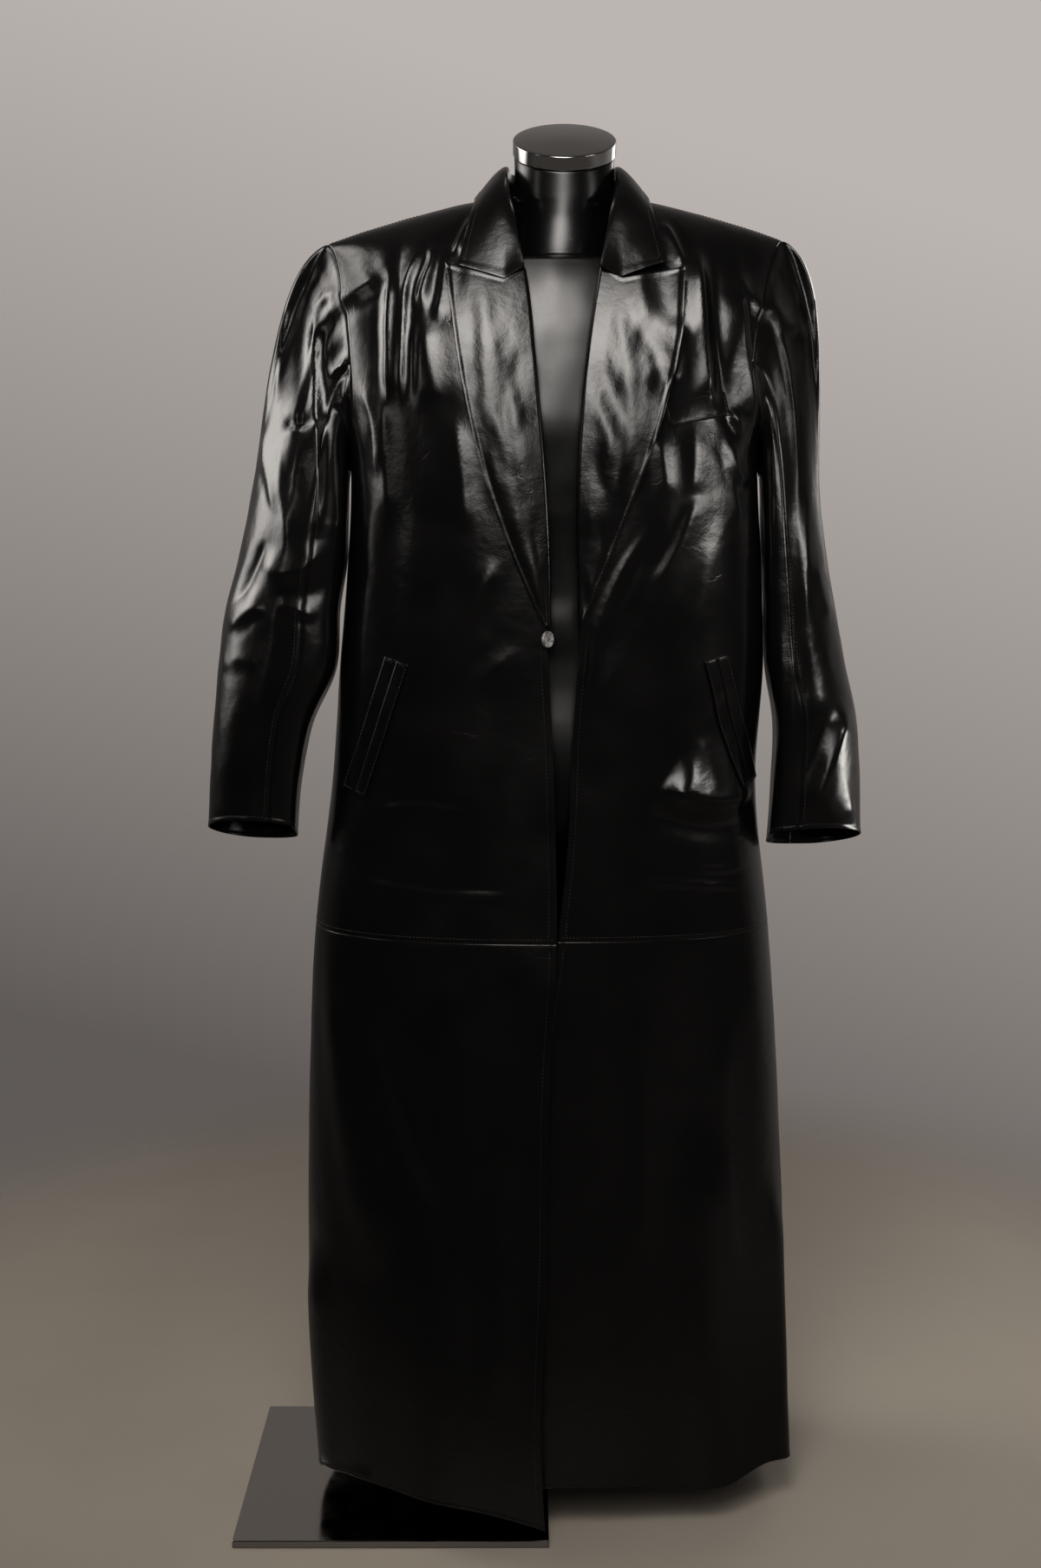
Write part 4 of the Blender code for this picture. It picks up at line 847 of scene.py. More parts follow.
# A sleeve counts 20 units round, with its front seam at 6 and its back seam at 14
ROUND, FRONT_SEAM, BACK_SEAM, UNIT = 20, 6, 14, 0.022
CAP_LENGTH, ARM_LENGTH, TOP_WIDTH, UNDER_WIDTH = 0.20, 0.36, 0.27, 0.18
SLEEVE_GAP, LEAN_STEP = 0.006, 0.01
TOP_STEP, UNDER_STEP, ARM_STEP = 0.0034, 0.0046, 0.0038
SWING, SWING_LEAST, SWING_MOST, SETTLE = 0.9, 0.03, 0.22, 0.8
FREE_OF_CAP, FACING, OFF_SEAM = (0.15, 0.50), (0.05, 0.50), (0.00, 0.08)
PUCKER_PLACE, PUCKER_WIDTH = 0.10, 0.08
OUTWARD = {"right": math.radians(26.0), "left": math.radians(18.0)}
arm_rows = np.array([1.215, 1.2255, 1.242, 1.266, 1.30, 1.345, 1.39, 1.43, 1.47, 1.497, 1.515])
fine_rows = np.interp(np.arange(0, 10.01, 0.25), np.arange(11), arm_rows)


def armhole(face):
    """The armhole's edge from the shoulder tip down the front and up the back, and the way out of it."""
    points, ways, step = [], [], 2e-3
    for part, side, climbs in ((face, face, fine_rows[:0:-1]), ("back", "back " + face, fine_rows[:-1])):
        end = side_of(side, climbs)
        end = np.where(climbs <= UNDERARM, np.sign(end) * math.pi / 2, end)
        at = body(part, end, climbs)
        near = skin(part, end, climbs)
        above = np.clip(climbs + step, UNDERARM, SHOULDER)
        below = np.clip(climbs - step, UNDERARM, SHOULDER)
        turn = side_of(side, above) - side_of(side, below)
        edge = skin(part, end, above) - skin(part, end, below) + skin(part, end + turn, climbs) - near
        out = upright(near, skin(part, end + TINY, climbs), skin(part, end, climbs + TINY))
        way = unit(np.cross(edge, out))
        inward = skin(part, end * 0.97, climbs) - near
        way *= -np.sign((way * inward).sum(-1, keepdims=True))
        points.append(at)
        ways.append(way)
    points, ways = np.concatenate(points), np.concatenate(ways)
    ways[len(points) // 2] = (0, 0, 1)
    ways[0] = (math.copysign(0.97, points[0, 0]), 0, -0.24)
    return points, ways


print({face: len(rows) for face, rows in SLEEVE_CREASES.items()}, "sleeve creases")

# %% Laying the sleeves
def sleeve(face):
    """The place function of a sleeve; u runs 0 to 20 round the armhole, v 0 to 1 over the cap and on to 2."""
    table = SLEEVE[face]
    ring, ways = armhole(face)
    count = len(ring)
    top, bottom = table[-1, 0], table[0, 0]

    def free(turn, level):
        outer, inner = column(table, level, 1), column(table, level, 2)
        # The side towards the body hangs flatter
        flat = np.cos(turn) * (1.5 - 0.5 * np.cos(turn) ** 2)
        across = (outer - inner) / 2 * np.where(np.cos(turn) < 0, flat, np.cos(turn))
        tilt = CUFF_TILT * fade(top, bottom, level) * np.sin(turn)
        y = column(table, level, 3) - column(table, level, 4) * np.sin(turn - OUTWARD[face])
        return np.stack([(outer + inner) / 2 + across, y, level + tilt], axis=-1)

    def plain(u, v):
        at = u * count / ROUND
        i = np.mod(np.floor(at).astype(int), count)
        part = (at - np.floor(at))[..., None]
        start = ring[i] * (1 - part) + ring[(i + 1) % count] * part
        away = ways[i] * (1 - part) + ways[(i + 1) % count] * part
        turn = u * math.pi / (ROUND / 2)
        below = free(turn, top + (bottom - top) * np.clip(v - 1, 0, 1))
        t = np.clip(v, 0, 1)[..., None]
        lean = free(turn, np.full(u.shape, top - LEAN_STEP)) - free(turn, np.full(u.shape, top))
        reach = np.linalg.norm(below - start, axis=-1, keepdims=True)
        begin_way = away * np.clip(reach * SWING, SWING_LEAST, SWING_MOST)
        end_way = lean / LEAN_STEP * reach * SETTLE
        start = start + away * SEAM * 2
        cap = (start * (1 + 2 * t) * (1 - t) ** 2 + below * t * t * (3 - 2 * t)
               + begin_way * t * (1 - t) ** 2 + end_way * t * t * (t - 1))
        return np.where(v[..., None] <= 1, cap, below)

    def place(u, v, lift):
        near = plain(u, v)
        ahead, behind = plain(u + 0.5, v), plain(u - 0.5, v)
        down, up = plain(u, np.minimum(v + 1e-3, 2.0)), plain(u, np.maximum(v - 1e-3, 0.0))
        normal = unit(np.cross(ahead - behind, up - down)) * (-1 if face == "left" else 1)
        turn = np.degrees(np.mod(u * math.pi / (ROUND / 2) + math.pi, 2 * math.pi) - math.pi)
        free_of_cap = fade(*FREE_OF_CAP, v)
        rise = ridge(SLEEVE_FOLDS[face], turn, near[..., 2]) * free_of_cap
        facing = fade(*FACING, np.abs(normal[..., 1])) * fade(*OFF_SEAM, v)
        shift = np.where(normal[..., 1] > 0, BACK_CREASE_DROP, 0.0)
        rise = rise + facing * rumple(SLEEVE_CREASES[face], near[..., 0], near[..., 2] + shift)
        rise = rise + free_of_cap * uneven(SLEEVE_UNEVEN, near)
        rise = rise + uneven(CAP_PUCKER, near) * np.exp(-((v - PUCKER_PLACE) / PUCKER_WIDTH) ** 2)
        far = np.minimum(np.abs(u - FRONT_SEAM), np.abs(np.mod(u, ROUND) - BACK_SEAM)) * UNIT
        edges = sewn(far) + sewn(v * CAP_LENGTH) + turned_in((2 - v) * ARM_LENGTH)
        return near + normal * (rise + edges + lift)[..., None]
    return place


cap_rows = np.concatenate([CLOSE / CAP_LENGTH, np.linspace(0.055, 1, 60)])
arm_rows_down = 1 + spaced(0, ARM_LENGTH, ARM_STEP)[len(CLOSE):] / ARM_LENGTH
sleeve_rows = np.unique(np.concatenate([cap_rows, arm_rows_down]))
for face in ("right", "left"):
    way = sleeve(face)
    top_columns = -FRONT_SEAM + spaced(0, TOP_WIDTH, TOP_STEP) / TOP_WIDTH * 2 * FRONT_SEAM
    under_columns = FRONT_SEAM + spaced(0, UNDER_WIDTH, UNDER_STEP) / UNDER_WIDTH * (BACK_SEAM - FRONT_SEAM)
    for columns, name in ((top_columns, "sleeve_top"), (under_columns, "sleeve_under")):
        columns[[0, -1]] += (SLEEVE_GAP, -SLEEVE_GAP)
        made = lay(f"leather_{name}_{face}", columns, sleeve_rows, way)
        finish_leather(made, f"{name}_{face}")

# %% [markdown]
# ## Lapels
# The lapel is the front's facing, folded back along the roll line. It starts under the front edge, goes
# round it in a tight loop and lies on the chest out to its peak. The facing is glued to a stiff
# interlining, so it has no folds, but the glue leaves it rippled, and the ripples run up and down it. They
# make the bright mottled shine.

# %% Lapels
LAPEL = {
    "right": np.array([
        # share down, roll height, outer x, outer height
        (0.00, 1.4278, -0.124, 1.429), (0.22, 1.340, -0.113, 1.341), (0.45, 1.250, -0.096, 1.249),
        (0.68, 1.160, -0.069, 1.158), (0.88, 1.084, -0.038, 1.080), (1.00, 1.043, -0.020, 1.042),
    ]),
    "left": np.array([
        # share down, roll height, outer x, outer height
        (0.00, 1.431, 0.128, 1.422), (0.22, 1.340, 0.121, 1.341), (0.45, 1.250, 0.100, 1.250),
        (0.68, 1.165, 0.070, 1.162), (0.88, 1.090, 0.040, 1.085), (1.00, 1.050, 0.024, 1.048),
    ]),
}
GORGE_DIP, ROLL, LAPEL_LENGTH, LAPEL_FACE = 0.0140, 0.3, 0.39, 0.08
LOOP_INSIDE, GORGE_POINT = 0.0012, 0.22
PUFF, PUFF_FROM, SLANT, FACE_STEP, LAPEL_STEP = 0.0014, 0.05, 0.30, 0.0034, 0.0038
BROAD_RIPPLE, QUICK_RIPPLE, QUICK_SHARE = (0.024, 1, 0.075), (0.011, 1, 0.028), 0.25
RIPPLE = {"right": 0.0022, "left": 0.0027}
STAND_OFF, LAPEL_WIDTH = {"right": 0.0090, "left": 0.0150}, 0.084


def notch(share, at):
    """A V that starts at 0, is 1 at its point and ends at 0."""
    down, up = share / at, (1 - share) / (1 - at)
    return (down + up - np.sqrt((down - up) ** 2 + 0.01)) / 2


def lapel(face):
    """The place function of a lapel; u runs from under the roll out to the edge, v from the top down."""
    sign = -1 if face == "right" else 1
    table = LAPEL[face]

    def place(u, v, lift):
        roll_z = column(table, v, 1)
        out_x, out_z = column(table, v, 2), column(table, v, 3)
        roll_x = column(EDGE_RIGHT if face == "right" else EDGE_LEFT, roll_z)
        width = np.abs(out_x - roll_x)
        tight = LOOP_INSIDE + WALL + WALL / 2
        loop = np.clip(u / ROLL, 0, 1) * math.pi
        radius = tight + lift
        share = np.clip((u - ROLL) / (1 - ROLL), 0, 1)
        along = np.where(u < ROLL, -radius * np.sin(loop) - 0.0004, share * width)
        puff = PUFF * np.sin(math.pi * share) ** 2 * np.clip(width / PUFF_FROM, 0, 1)
        dip = GORGE_DIP * notch(share, GORGE_POINT) * np.clip(1 - v / GORGE_POINT, 0, 1)
        height = roll_z + (out_z - roll_z) * share - dip
        x = roll_x + sign * along
        flat = np.stack([x, np.zeros(x.shape), height], axis=-1)
        slant = flat + np.stack([SLANT * height, 0 * height, 0 * height], axis=-1)
        broad = waver(slant, BROAD_RIPPLE, 11.0)
        quick = waver(flat, QUICK_RIPPLE, 13.0)
        wave = RIPPLE[face] * (0.35 + 0.65 * fade(0.02, 0.24, v)) * (broad + QUICK_SHARE * quick + 0.5)
        stand = STAND_OFF[face] * (width / LAPEL_WIDTH * share) ** 2 * (1 - 0.3 * fade(0.2, 0.8, v))
        edge = turned_in((1 - share) * width) + turned_in(v * LAPEL_LENGTH)
        lifted = radius - WALL / 2 + puff + stand + wave * np.sin(math.pi * share) ** 0.5
        lifted = lifted + edge * fade(0, 0.1, share)
        return on_front(face, x, height, np.where(u < ROLL, -radius * np.cos(loop) - WALL / 2, lifted))
    return place


face_columns = spaced(0, LAPEL_FACE, FACE_STEP)[len(CLOSE):] / LAPEL_FACE
roll_columns = np.concatenate([np.linspace(0, ROLL, 10), ROLL + face_columns * (1 - ROLL)])
lapel_rows = spaced(0, LAPEL_LENGTH, LAPEL_STEP) / LAPEL_LENGTH
for face in ("right", "left"):
    made = lay(f"leather_lapel_{face}", roll_columns, lapel_rows, lapel(face))
    finish_leather(made, f"lapel_{face}")

# %% [markdown]
# ## Collar
# The collar stands up from the neck seam, rolls over and falls onto the shoulders, longest at its two front
# points. Three lines describe it, seam, roll and outer edge, and two soft curves join them.

# %% Collar
COLLAR = np.array([
    # share, seam x y z, roll x y z, edge x y z
    (0.00, 0.0000, 0.0760, 1.4745, 0.0000, 0.0700, 1.5400, 0.0000, 0.0985, 1.4550),
    (0.20, 0.0355, 0.0672, 1.4842, 0.0360, 0.0610, 1.5430, 0.0620, 0.0865, 1.4700),
    (0.38, 0.0620, 0.0440, 1.5040, 0.0560, 0.0370, 1.5500, 0.0950, 0.0490, 1.5030),
    (0.55, 0.0750, 0.0060, 1.5168, 0.0610, 0.0030, 1.5520, 0.0970, 0.0060, 1.5180),
    (0.72, 0.0625, -0.0405, 1.5045, 0.0590, -0.0410, 1.5280, 0.0980, -0.0500, 1.5025),
    (0.87, 0.0500, -0.0745, 1.4770, 0.0510, -0.0815, 1.4850, 0.1040, -0.0780, 1.4765),
    (1.00, 0.0405, -0.1090, 1.4285, 0.0430, -0.1150, 1.4290, 0.1133, -0.1035, 1.4360),
])
NOTCH_DIP, COLLAR_X, RIGHT_POINT_DROP = 0.0140, 0.0035, 0.0040
COLLAR_LENGTH, COLLAR_FALL, STAND_SHARE, BOW = 0.6, 0.09, 0.4, 0.22
COLLAR_STEP, COLLAR_RIPPLE, FORWARD = 0.0046, 0.0005, np.array([0, -0.0048, 0.0036])
NOTCH_POINT, NOTCH_FROM = 0.27, 0.86


def collar_line(u, v):
    """A point of the collar; u runs from the right end to the left, v from the seam over the roll."""
    share, sign = np.abs(2 * u - 1), np.sign(2 * u - 1)
    lines = [[column(COLLAR, share, i + k) for k in range(3)] for i in (1, 4, 7)]
    seam, roll, edge = (np.stack(line, axis=-1) for line in lines)
    v = v[..., None]
    stand = np.clip(v / STAND_SHARE, 0, 1)
    fall = np.clip((v - STAND_SHARE) / (1 - STAND_SHARE), 0, 1)
    up = np.array([0, 0, 1.0])
    pull = roll * 0.75 + seam * 0.25
    first = seam * (1 - stand) ** 2 + 2 * stand * (1 - stand) * pull + roll * stand ** 2
    flat_end = fade(0.80, 1.0, share)[..., None]
    high = np.linalg.norm(edge - roll, axis=-1, keepdims=True) * BOW * (1 - flat_end)
    ahead = FORWARD * (fade(0.5, 0.75, share)[..., None] * (1 - 0.5 * flat_end))
    bow = roll + (edge - roll) * (BOW + 0.28 * flat_end) + up * high + ahead
    second = roll * (1 - fall) ** 2 + 2 * fall * (1 - fall) * bow + edge * fall ** 2
    near_end = np.clip((share[..., None] - NOTCH_FROM) / (1 - NOTCH_FROM), 0, 1)
    dip = NOTCH_DIP * notch(fall, NOTCH_POINT) * near_end ** 2
    dip = dip + RIGHT_POINT_DROP * fall * flat_end * (sign[..., None] < 0)
    point = np.where(v < STAND_SHARE, first, second) - up * dip
    point[..., 0] = point[..., 0] * sign + COLLAR_X * (1 - share)
    return point


def collar(u, v, lift):
    """The collar with its turned edge and ripples."""
    step = 2e-3
    across = collar_line(np.clip(u + step, 0, 1), v) - collar_line(np.clip(u - step, 0, 1), v)
    over = collar_line(u, np.clip(v + step, 0, 1)) - collar_line(u, np.clip(v - step, 0, 1))
    normal = unit(np.cross(across, over))
    near = collar_line(u, v)
    fall = fade(STAND_SHARE, 0.55, v)
    edge = 0.5 * (turned_in((1 - v) * COLLAR_FALL) + turned_in(np.minimum(u, 1 - u) * COLLAR_LENGTH))
    rise = fall * (edge + COLLAR_RIPPLE * (1 + waver(near, (0.02, 0.02, 0.03), 15.0)))
    return near + normal * (rise + lift)[..., None]


collar_columns = spaced(0, COLLAR_LENGTH, COLLAR_STEP) / COLLAR_LENGTH
collar_rows = np.concatenate([np.linspace(0, 0.9, 28), 1 - CLOSE[::-1] / COLLAR_FALL])
made = lay("leather_collar", collar_columns, collar_rows, collar)
finish_leather(made, "collar")

# %% [markdown]
# ## Pockets
# The breast pocket has one welt. Each side pocket has two narrow welts, like a pair of lips, along a
# slanted slit. A welt is a doubled strip, so it is round on top and a little proud of the panel.

# %% Welts
CHEST_WELT = ((0.114, 1.270), (0.181, 1.283), 0.026)
POCKETS = {"right": ((-0.181, 1.003), (-0.231, 0.853)), "left": ((0.171, 1.005), (0.210, 0.862))}
POCKET_WELT, CHEST_PROUD, POCKET_PROUD = 0.0135, 0.0025, 0.0033
WELT_ROUND, WELT_SINK = 0.0008, 0.0003


def welt(face, start, end, offset, width, high):
    """The place function of a welt along a slit; u runs along it and v across it."""
    start, end = np.array(start), np.array(end)
    along = (end - start) / np.linalg.norm(end - start)
    across = np.array([along[1], -along[0]])

    def place(u, v, lift):
        at = start + (end - start) * u[..., None] + across * (offset + width * (v - 0.5))[..., None]
        round_top = WELT_ROUND * (1 - (2 * v - 1) ** 4) - WELT_SINK
        return on_front(face, at[..., 0], at[..., 1], high + round_top + lift)
    return place


chest_welt = welt("left", *CHEST_WELT[:2], 0, CHEST_WELT[2], CHEST_PROUD)
made = lay("leather_chest_welt", np.linspace(0, 1, 40), np.linspace(0, 1, 15), chest_welt)
finish_leather(made, "chest_welt")
pocket_welts = {}
for face, slit in POCKETS.items():
    for part, offset in (("front", -1), ("back", 1)):
        shift = offset * (POCKET_WELT + SEAM * 2) / 2
        way = welt(face, *slit, shift, POCKET_WELT, POCKET_PROUD)
        pocket_welts[face, part] = way
        made = lay(f"leather_pocket_welt_{face}_{part}", np.linspace(0, 1, 60), np.linspace(0, 1, 11), way)
        finish_leather(made, f"pocket_welt_{face}_{part}")

# %% [markdown]
# ## Topstitching
# One row of stitches runs inside the turned edges of fronts, lapels, collar, cuffs and welts, 5 mm in or
# less, and beside the shoulder, sleeve and cross seams. A stitch is a short bit of thread that dives at
# both ends, so one lozenge with eight faces is enough, and it is repeated along each line. Real stitches
# are 3 mm long and 0.4 mm thick; they are drawn 0.7 mm thick so that they show.

# %% Sewing along a line
STITCH, PITCH, THREAD, SAMPLES = 0.0031, 0.0042, 0.00035, 400
ON_LEATHER, ABOVE_IT, FIRST_STITCH = 0.0001, 0.0011, 0.001


def points_at(where, run, line):
    """Points of a line at distances along it."""
    return np.stack([np.interp(where, run, line[:, k]) for k in range(3)], axis=-1)


def sew(name, place, runs):
    """Stitches along lines given as u and v on a place function."""
    points, faces = [], []
    for u, v in runs:
        t = np.linspace(0, 1, SAMPLES)
        u, v = (np.interp(t, np.linspace(0, 1, len(np.atleast_1d(w))), np.atleast_1d(w)) for w in (u, v))
        line = place(u[None], v[None], np.full((1, SAMPLES), ON_LEATHER))[0] + (BODY_X, 0, 0)
        out = place(u[None], v[None], np.full((1, SAMPLES), ABOVE_IT))[0] + (BODY_X, 0, 0) - line
        run = np.concatenate([[0], np.cumsum(np.linalg.norm(np.diff(line, axis=0), axis=1))])
        begins = np.arange(FIRST_STITCH, run[-1] - STITCH, PITCH)
        start, end = points_at(begins, run, line), points_at(begins + STITCH, run, line)
        middle, up = (points_at(begins + STITCH / 2, run, what) for what in (line, out))
        up /= np.linalg.norm(up, axis=1, keepdims=True)
        side = np.cross(up, end - start)
        side *= THREAD / np.linalg.norm(side, axis=1, keepdims=True)
        first = 6 * np.arange(len(begins))[:, None] + sum(len(p) for p in points)
        ring = [middle + side, middle + up * THREAD * 1.4, middle - side, middle - up * THREAD]
        tips = [start - up * THREAD * 0.5, end - up * THREAD * 0.5]
        points.append(np.stack([*tips, *ring], axis=1).reshape(-1, 3))
        for k in range(4):
            faces += [first + (0, 2 + k, 2 + (k + 1) % 4), first + (1, 2 + (k + 1) % 4, 2 + k)]
    mesh = bpy.data.meshes.new(name)
    mesh.from_pydata(np.concatenate(points).tolist(), [], np.concatenate(faces).tolist())
    mesh.materials.append(thread)
    made = bpy.data.objects.new(name, mesh)
    bpy.context.scene.collection.objects.link(made)
    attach(made, "root")
    print(name, len(mesh.polygons) // 8, "stitches")
    return made


for face in ("right", "left"):
    front = sew(f"stitches_front_upper_{face}", front_upper(face), [
        ((0.020, 0.020), (CROSS_SEAM + 0.006, 1.035)),
        ((0.006, 0.994), (CROSS_SEAM + 0.005, CROSS_SEAM + 0.005)),
        ((0.30, 0.985), (SHOULDER - 0.0045, SHOULDER - 0.0045)),
    ])
    sew(f"stitches_front_lower_{face}", front_lower(face), [
        ((0.0172, 0.0172), (0.012, 0.992))])
    sew(f"stitches_lapel_{face}", lapel(face), [
        ((0.955, 0.955, 0.950, 0.945, 0.93, 0.86), (0.012, 0.2, 0.4, 0.6, 0.8, 0.97)),
        ((0.42, 0.955), (0.0128, 0.0128))])
    sew(f"stitches_sleeve_top_{face}", sleeve(face), [
        ((-5.9, 5.9), (2 - 0.0139, 2 - 0.0139)), ((5.78, 5.78), (1.1, 1.98))])
    sew(f"stitches_sleeve_under_{face}", sleeve(face), [
        ((6.1, 13.9), (2 - 0.0139, 2 - 0.0139))])
sew("stitches_back_upper", back_upper, [
    ((-0.99, 0.99), (CROSS_SEAM + 0.005, CROSS_SEAM + 0.005))])
sew("stitches_collar", collar, [
    ((0.0085, 0.9915), (0.945, 0.945)),
    ((0.0085, 0.0085), (0.55, 0.945)),
    ((0.9915, 0.9915), (0.55, 0.945)),
])
sew("stitches_chest_welt", chest_welt, [
    ((0.03, 0.97), (0.9, 0.9)), ((0.97, 0.97), (0.1, 0.9))])
for (face, part), way in pocket_welts.items():
    rim = 0.1 if part == "front" else 0.9
    sew(f"stitches_pocket_welt_{face}_{part}", way, [
        ((0.02, 0.98), (rim, rim)), ((0.02, 0.02), (0.1, 0.9)), ((0.98, 0.98), (0.1, 0.9))])

# %% [markdown]

# %% [markdown]
# ## The form
# The torso form is a hollow moulding without arms or legs, closed at the neck. By hand it would be a
# circle, extruded up ring by ring and scaled at each level. Here the operator draws the rings and the chart
# of sections scales them.

# %% Torso form
NECK_TOP, NECK_LEAN, NECK_SHIFT = 1.5655, math.radians(28.0), 0.0045
FORM_WALL, FORM_BOTTOM, POLE_RADIUS, NECK_BASE = 0.0035, 0.800, 0.0125, 1.446
NECK_HALF_WIDTH, NECK_HALF_DEPTH, NECK_FLARE, RING_STEP = 0.0565, 0.0500, 0.007, 0.01
FORM = np.array([
    # height, half width, front, back, roundness
    (0.8000, 0.1500, 0.0980, 0.1050, 2.20), (0.8300, 0.1660, 0.1100, 0.1200, 2.20),
    (0.9000, 0.1720, 0.1160, 0.1240, 2.20), (0.9800, 0.1620, 0.1100, 0.1160, 2.20),
    (1.0800, 0.1500, 0.1080, 0.1080, 2.20), (1.1800, 0.1630, 0.1160, 0.1160, 2.20),
    (1.2800, 0.1800, 0.1210, 0.1220, 2.20), (1.3600, 0.1900, 0.1130, 0.1180, 2.10),
    (1.4200, 0.1960, 0.0960, 0.1020, 1.90), (1.4550, 0.1940, 0.0800, 0.0780, 1.60),
    (1.4780, 0.1850, 0.0700, 0.0680, 1.35), (1.4890, 0.1720, 0.0660, 0.0630, 1.15),
    (1.4955, 0.1520, 0.0640, 0.0590, 1.02), (1.5006, 0.1300, 0.0625, 0.0580, 1.00),
    (1.5045, 0.1100, 0.0615, 0.0575, 1.00), (1.5065, 0.0980, 0.0605, 0.0575, 1.02),
    (1.5085, 0.0770, 0.0600, 0.0570, 1.15), (1.5120, 0.0640, 0.0595, 0.0570, 1.50),
    (1.5200, 0.0600, 0.0585, 0.0580, 2.00), (1.5360, 0.0568, 0.0555, 0.0545, 2.00),
    (1.5655, 0.0565, 0.0500, 0.0500, 2.00),
])


def section(turn, height):
    """A point of the form at a turn from the front and a height."""
    power = column(FORM, height, 4)
    reach = (np.abs(np.sin(turn)) ** power + np.abs(np.cos(turn)) ** power) ** (-1 / power)
    depth = np.where(np.cos(turn) > 0, -column(FORM, height, 2), -column(FORM, height, 3))
    x = column(FORM, height, 1) * np.sin(turn) * reach
    y = depth * np.cos(turn) * reach
    flare = NECK_FLARE * (1 - fade(NECK_BASE, NECK_BASE + 0.05, height))
    wide, deep = NECK_HALF_WIDTH + flare, NECK_HALF_DEPTH + flare
    column_radius = 1 / np.hypot(np.sin(turn) / wide, np.cos(turn) / deep)
    keep = fade(NECK_BASE - 0.004, NECK_BASE + 0.004, height) * fade(0.2, 0.6, np.cos(turn))
    shrink = 1 - keep * (1 - np.minimum(1, column_radius / np.hypot(x, y)))
    x, y = x * shrink + NECK_SHIFT * fade(1.43, 1.53, height), y * shrink
    lean = math.tan(NECK_LEAN) * fade(1.505, NECK_TOP, height)
    return np.stack([x + BODY_X, y, height + lean * y], axis=-1)


bpy.ops.object.select_all(action="DESELECT")
trunk, throat = np.linspace(FORM_BOTTOM, 1.43, 52), np.linspace(1.434, 1.458, 13)
rings = np.unique(np.concatenate([trunk, throat, np.linspace(1.461, NECK_TOP, 40)]))
bore = POLE_RADIUS + 2 * SEAM
bpy.ops.mesh.primitive_circle_add(vertices=96, radius=bore, fill_type="NOTHING", location=(0, 0, 0))
torso = bpy.context.object
torso.name = torso.data.name = "torso_form"
bpy.ops.object.mode_set(mode="EDIT")
bpy.ops.mesh.select_all(action="SELECT")
for _ in rings:
    bpy.ops.mesh.extrude_edges_move(TRANSFORM_OT_translate={"value": (0, 0, RING_STEP)})
bpy.ops.mesh.edge_face_add()
bpy.ops.mesh.poke()
bpy.ops.object.mode_set(mode="OBJECT")
levels = np.round(np.array([vert.co.z for vert in torso.data.vertices]) / RING_STEP).astype(int)
angles = np.array([math.atan2(vert.co.x, -vert.co.y) for vert in torso.data.vertices])
radii = np.array([math.hypot(vert.co.x, vert.co.y) for vert in torso.data.vertices])
for vert, level, angle, radius in zip(torso.data.vertices, levels, angles, radii):
    if radius < 0.001:
        vert.co = (BODY_X + NECK_SHIFT, 0, NECK_TOP)
    elif level == 0:
        vert.co = (radius * math.sin(angle), -radius * math.cos(angle), FORM_BOTTOM)
    else:
        vert.co = section(np.array(angle), np.array(rings[level - 1]))
bpy.ops.object.mode_set(mode="EDIT")
bpy.ops.mesh.select_all(action="SELECT")
bpy.ops.mesh.normals_make_consistent(inside=False)
bpy.ops.object.mode_set(mode="OBJECT")
shell = torso.modifiers.new("shell", "SOLIDIFY")
shell.thickness, shell.offset = FORM_WALL, -1
bpy.ops.object.modifier_apply(modifier="shell")
bpy.ops.object.shade_smooth()
torso.data.materials.append(lacquer)
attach(torso, "root")
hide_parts("form")
print("form", len(torso.data.polygons), "faces", [round(x, 3) for x in torso.dimensions])

# %% [markdown]
# ## The neck cap
# A spun chrome cap closes the neck. It is a disc with an upright band, a rolled edge and a slightly domed
# top, and it leans forward with the neck. A cylinder has its top inset and lifted in steps, and its edges
# bevelled. Weighted normals keep the band straight, so that it mirrors in upright stripes, and then the cap
# is leaned.

# %% Neck cap
CAP_RADIUS, CAP_BAND, CAP_EDGE = 0.0580, 0.0150, 0.0010
CAP_STEPS = (
    # inset, lift
    (0.0004, 0.0006), (0.0012, 0.0006), (0.0050, 0.0006), (0.0160, 0.0014), (0.0200, 0.0010),
)


def settle(made, *, lean=(0, 0, 0), at=(0, 0, 0)):
    """Leans a piece, moves it to its place, and writes both into its mesh."""
    made.rotation_euler, made.location = lean, at
    bpy.ops.object.select_all(action="DESELECT")
    made.select_set(True)
    bpy.context.view_layer.objects.active = made
    bpy.ops.object.transform_apply(location=True, rotation=True, scale=True)


def pick(made, test):
    """Selects the faces whose centre and normal pass a test, and stays in edit mode."""
    bpy.ops.object.mode_set(mode="OBJECT")
    for kind in (made.data.vertices, made.data.edges, made.data.polygons):
        kind.foreach_set("select", [False] * len(kind))
    for face in made.data.polygons:
        face.select = test(face.center, face.normal)
    bpy.ops.object.mode_set(mode="EDIT")
    bpy.ops.mesh.select_mode(type="FACE")


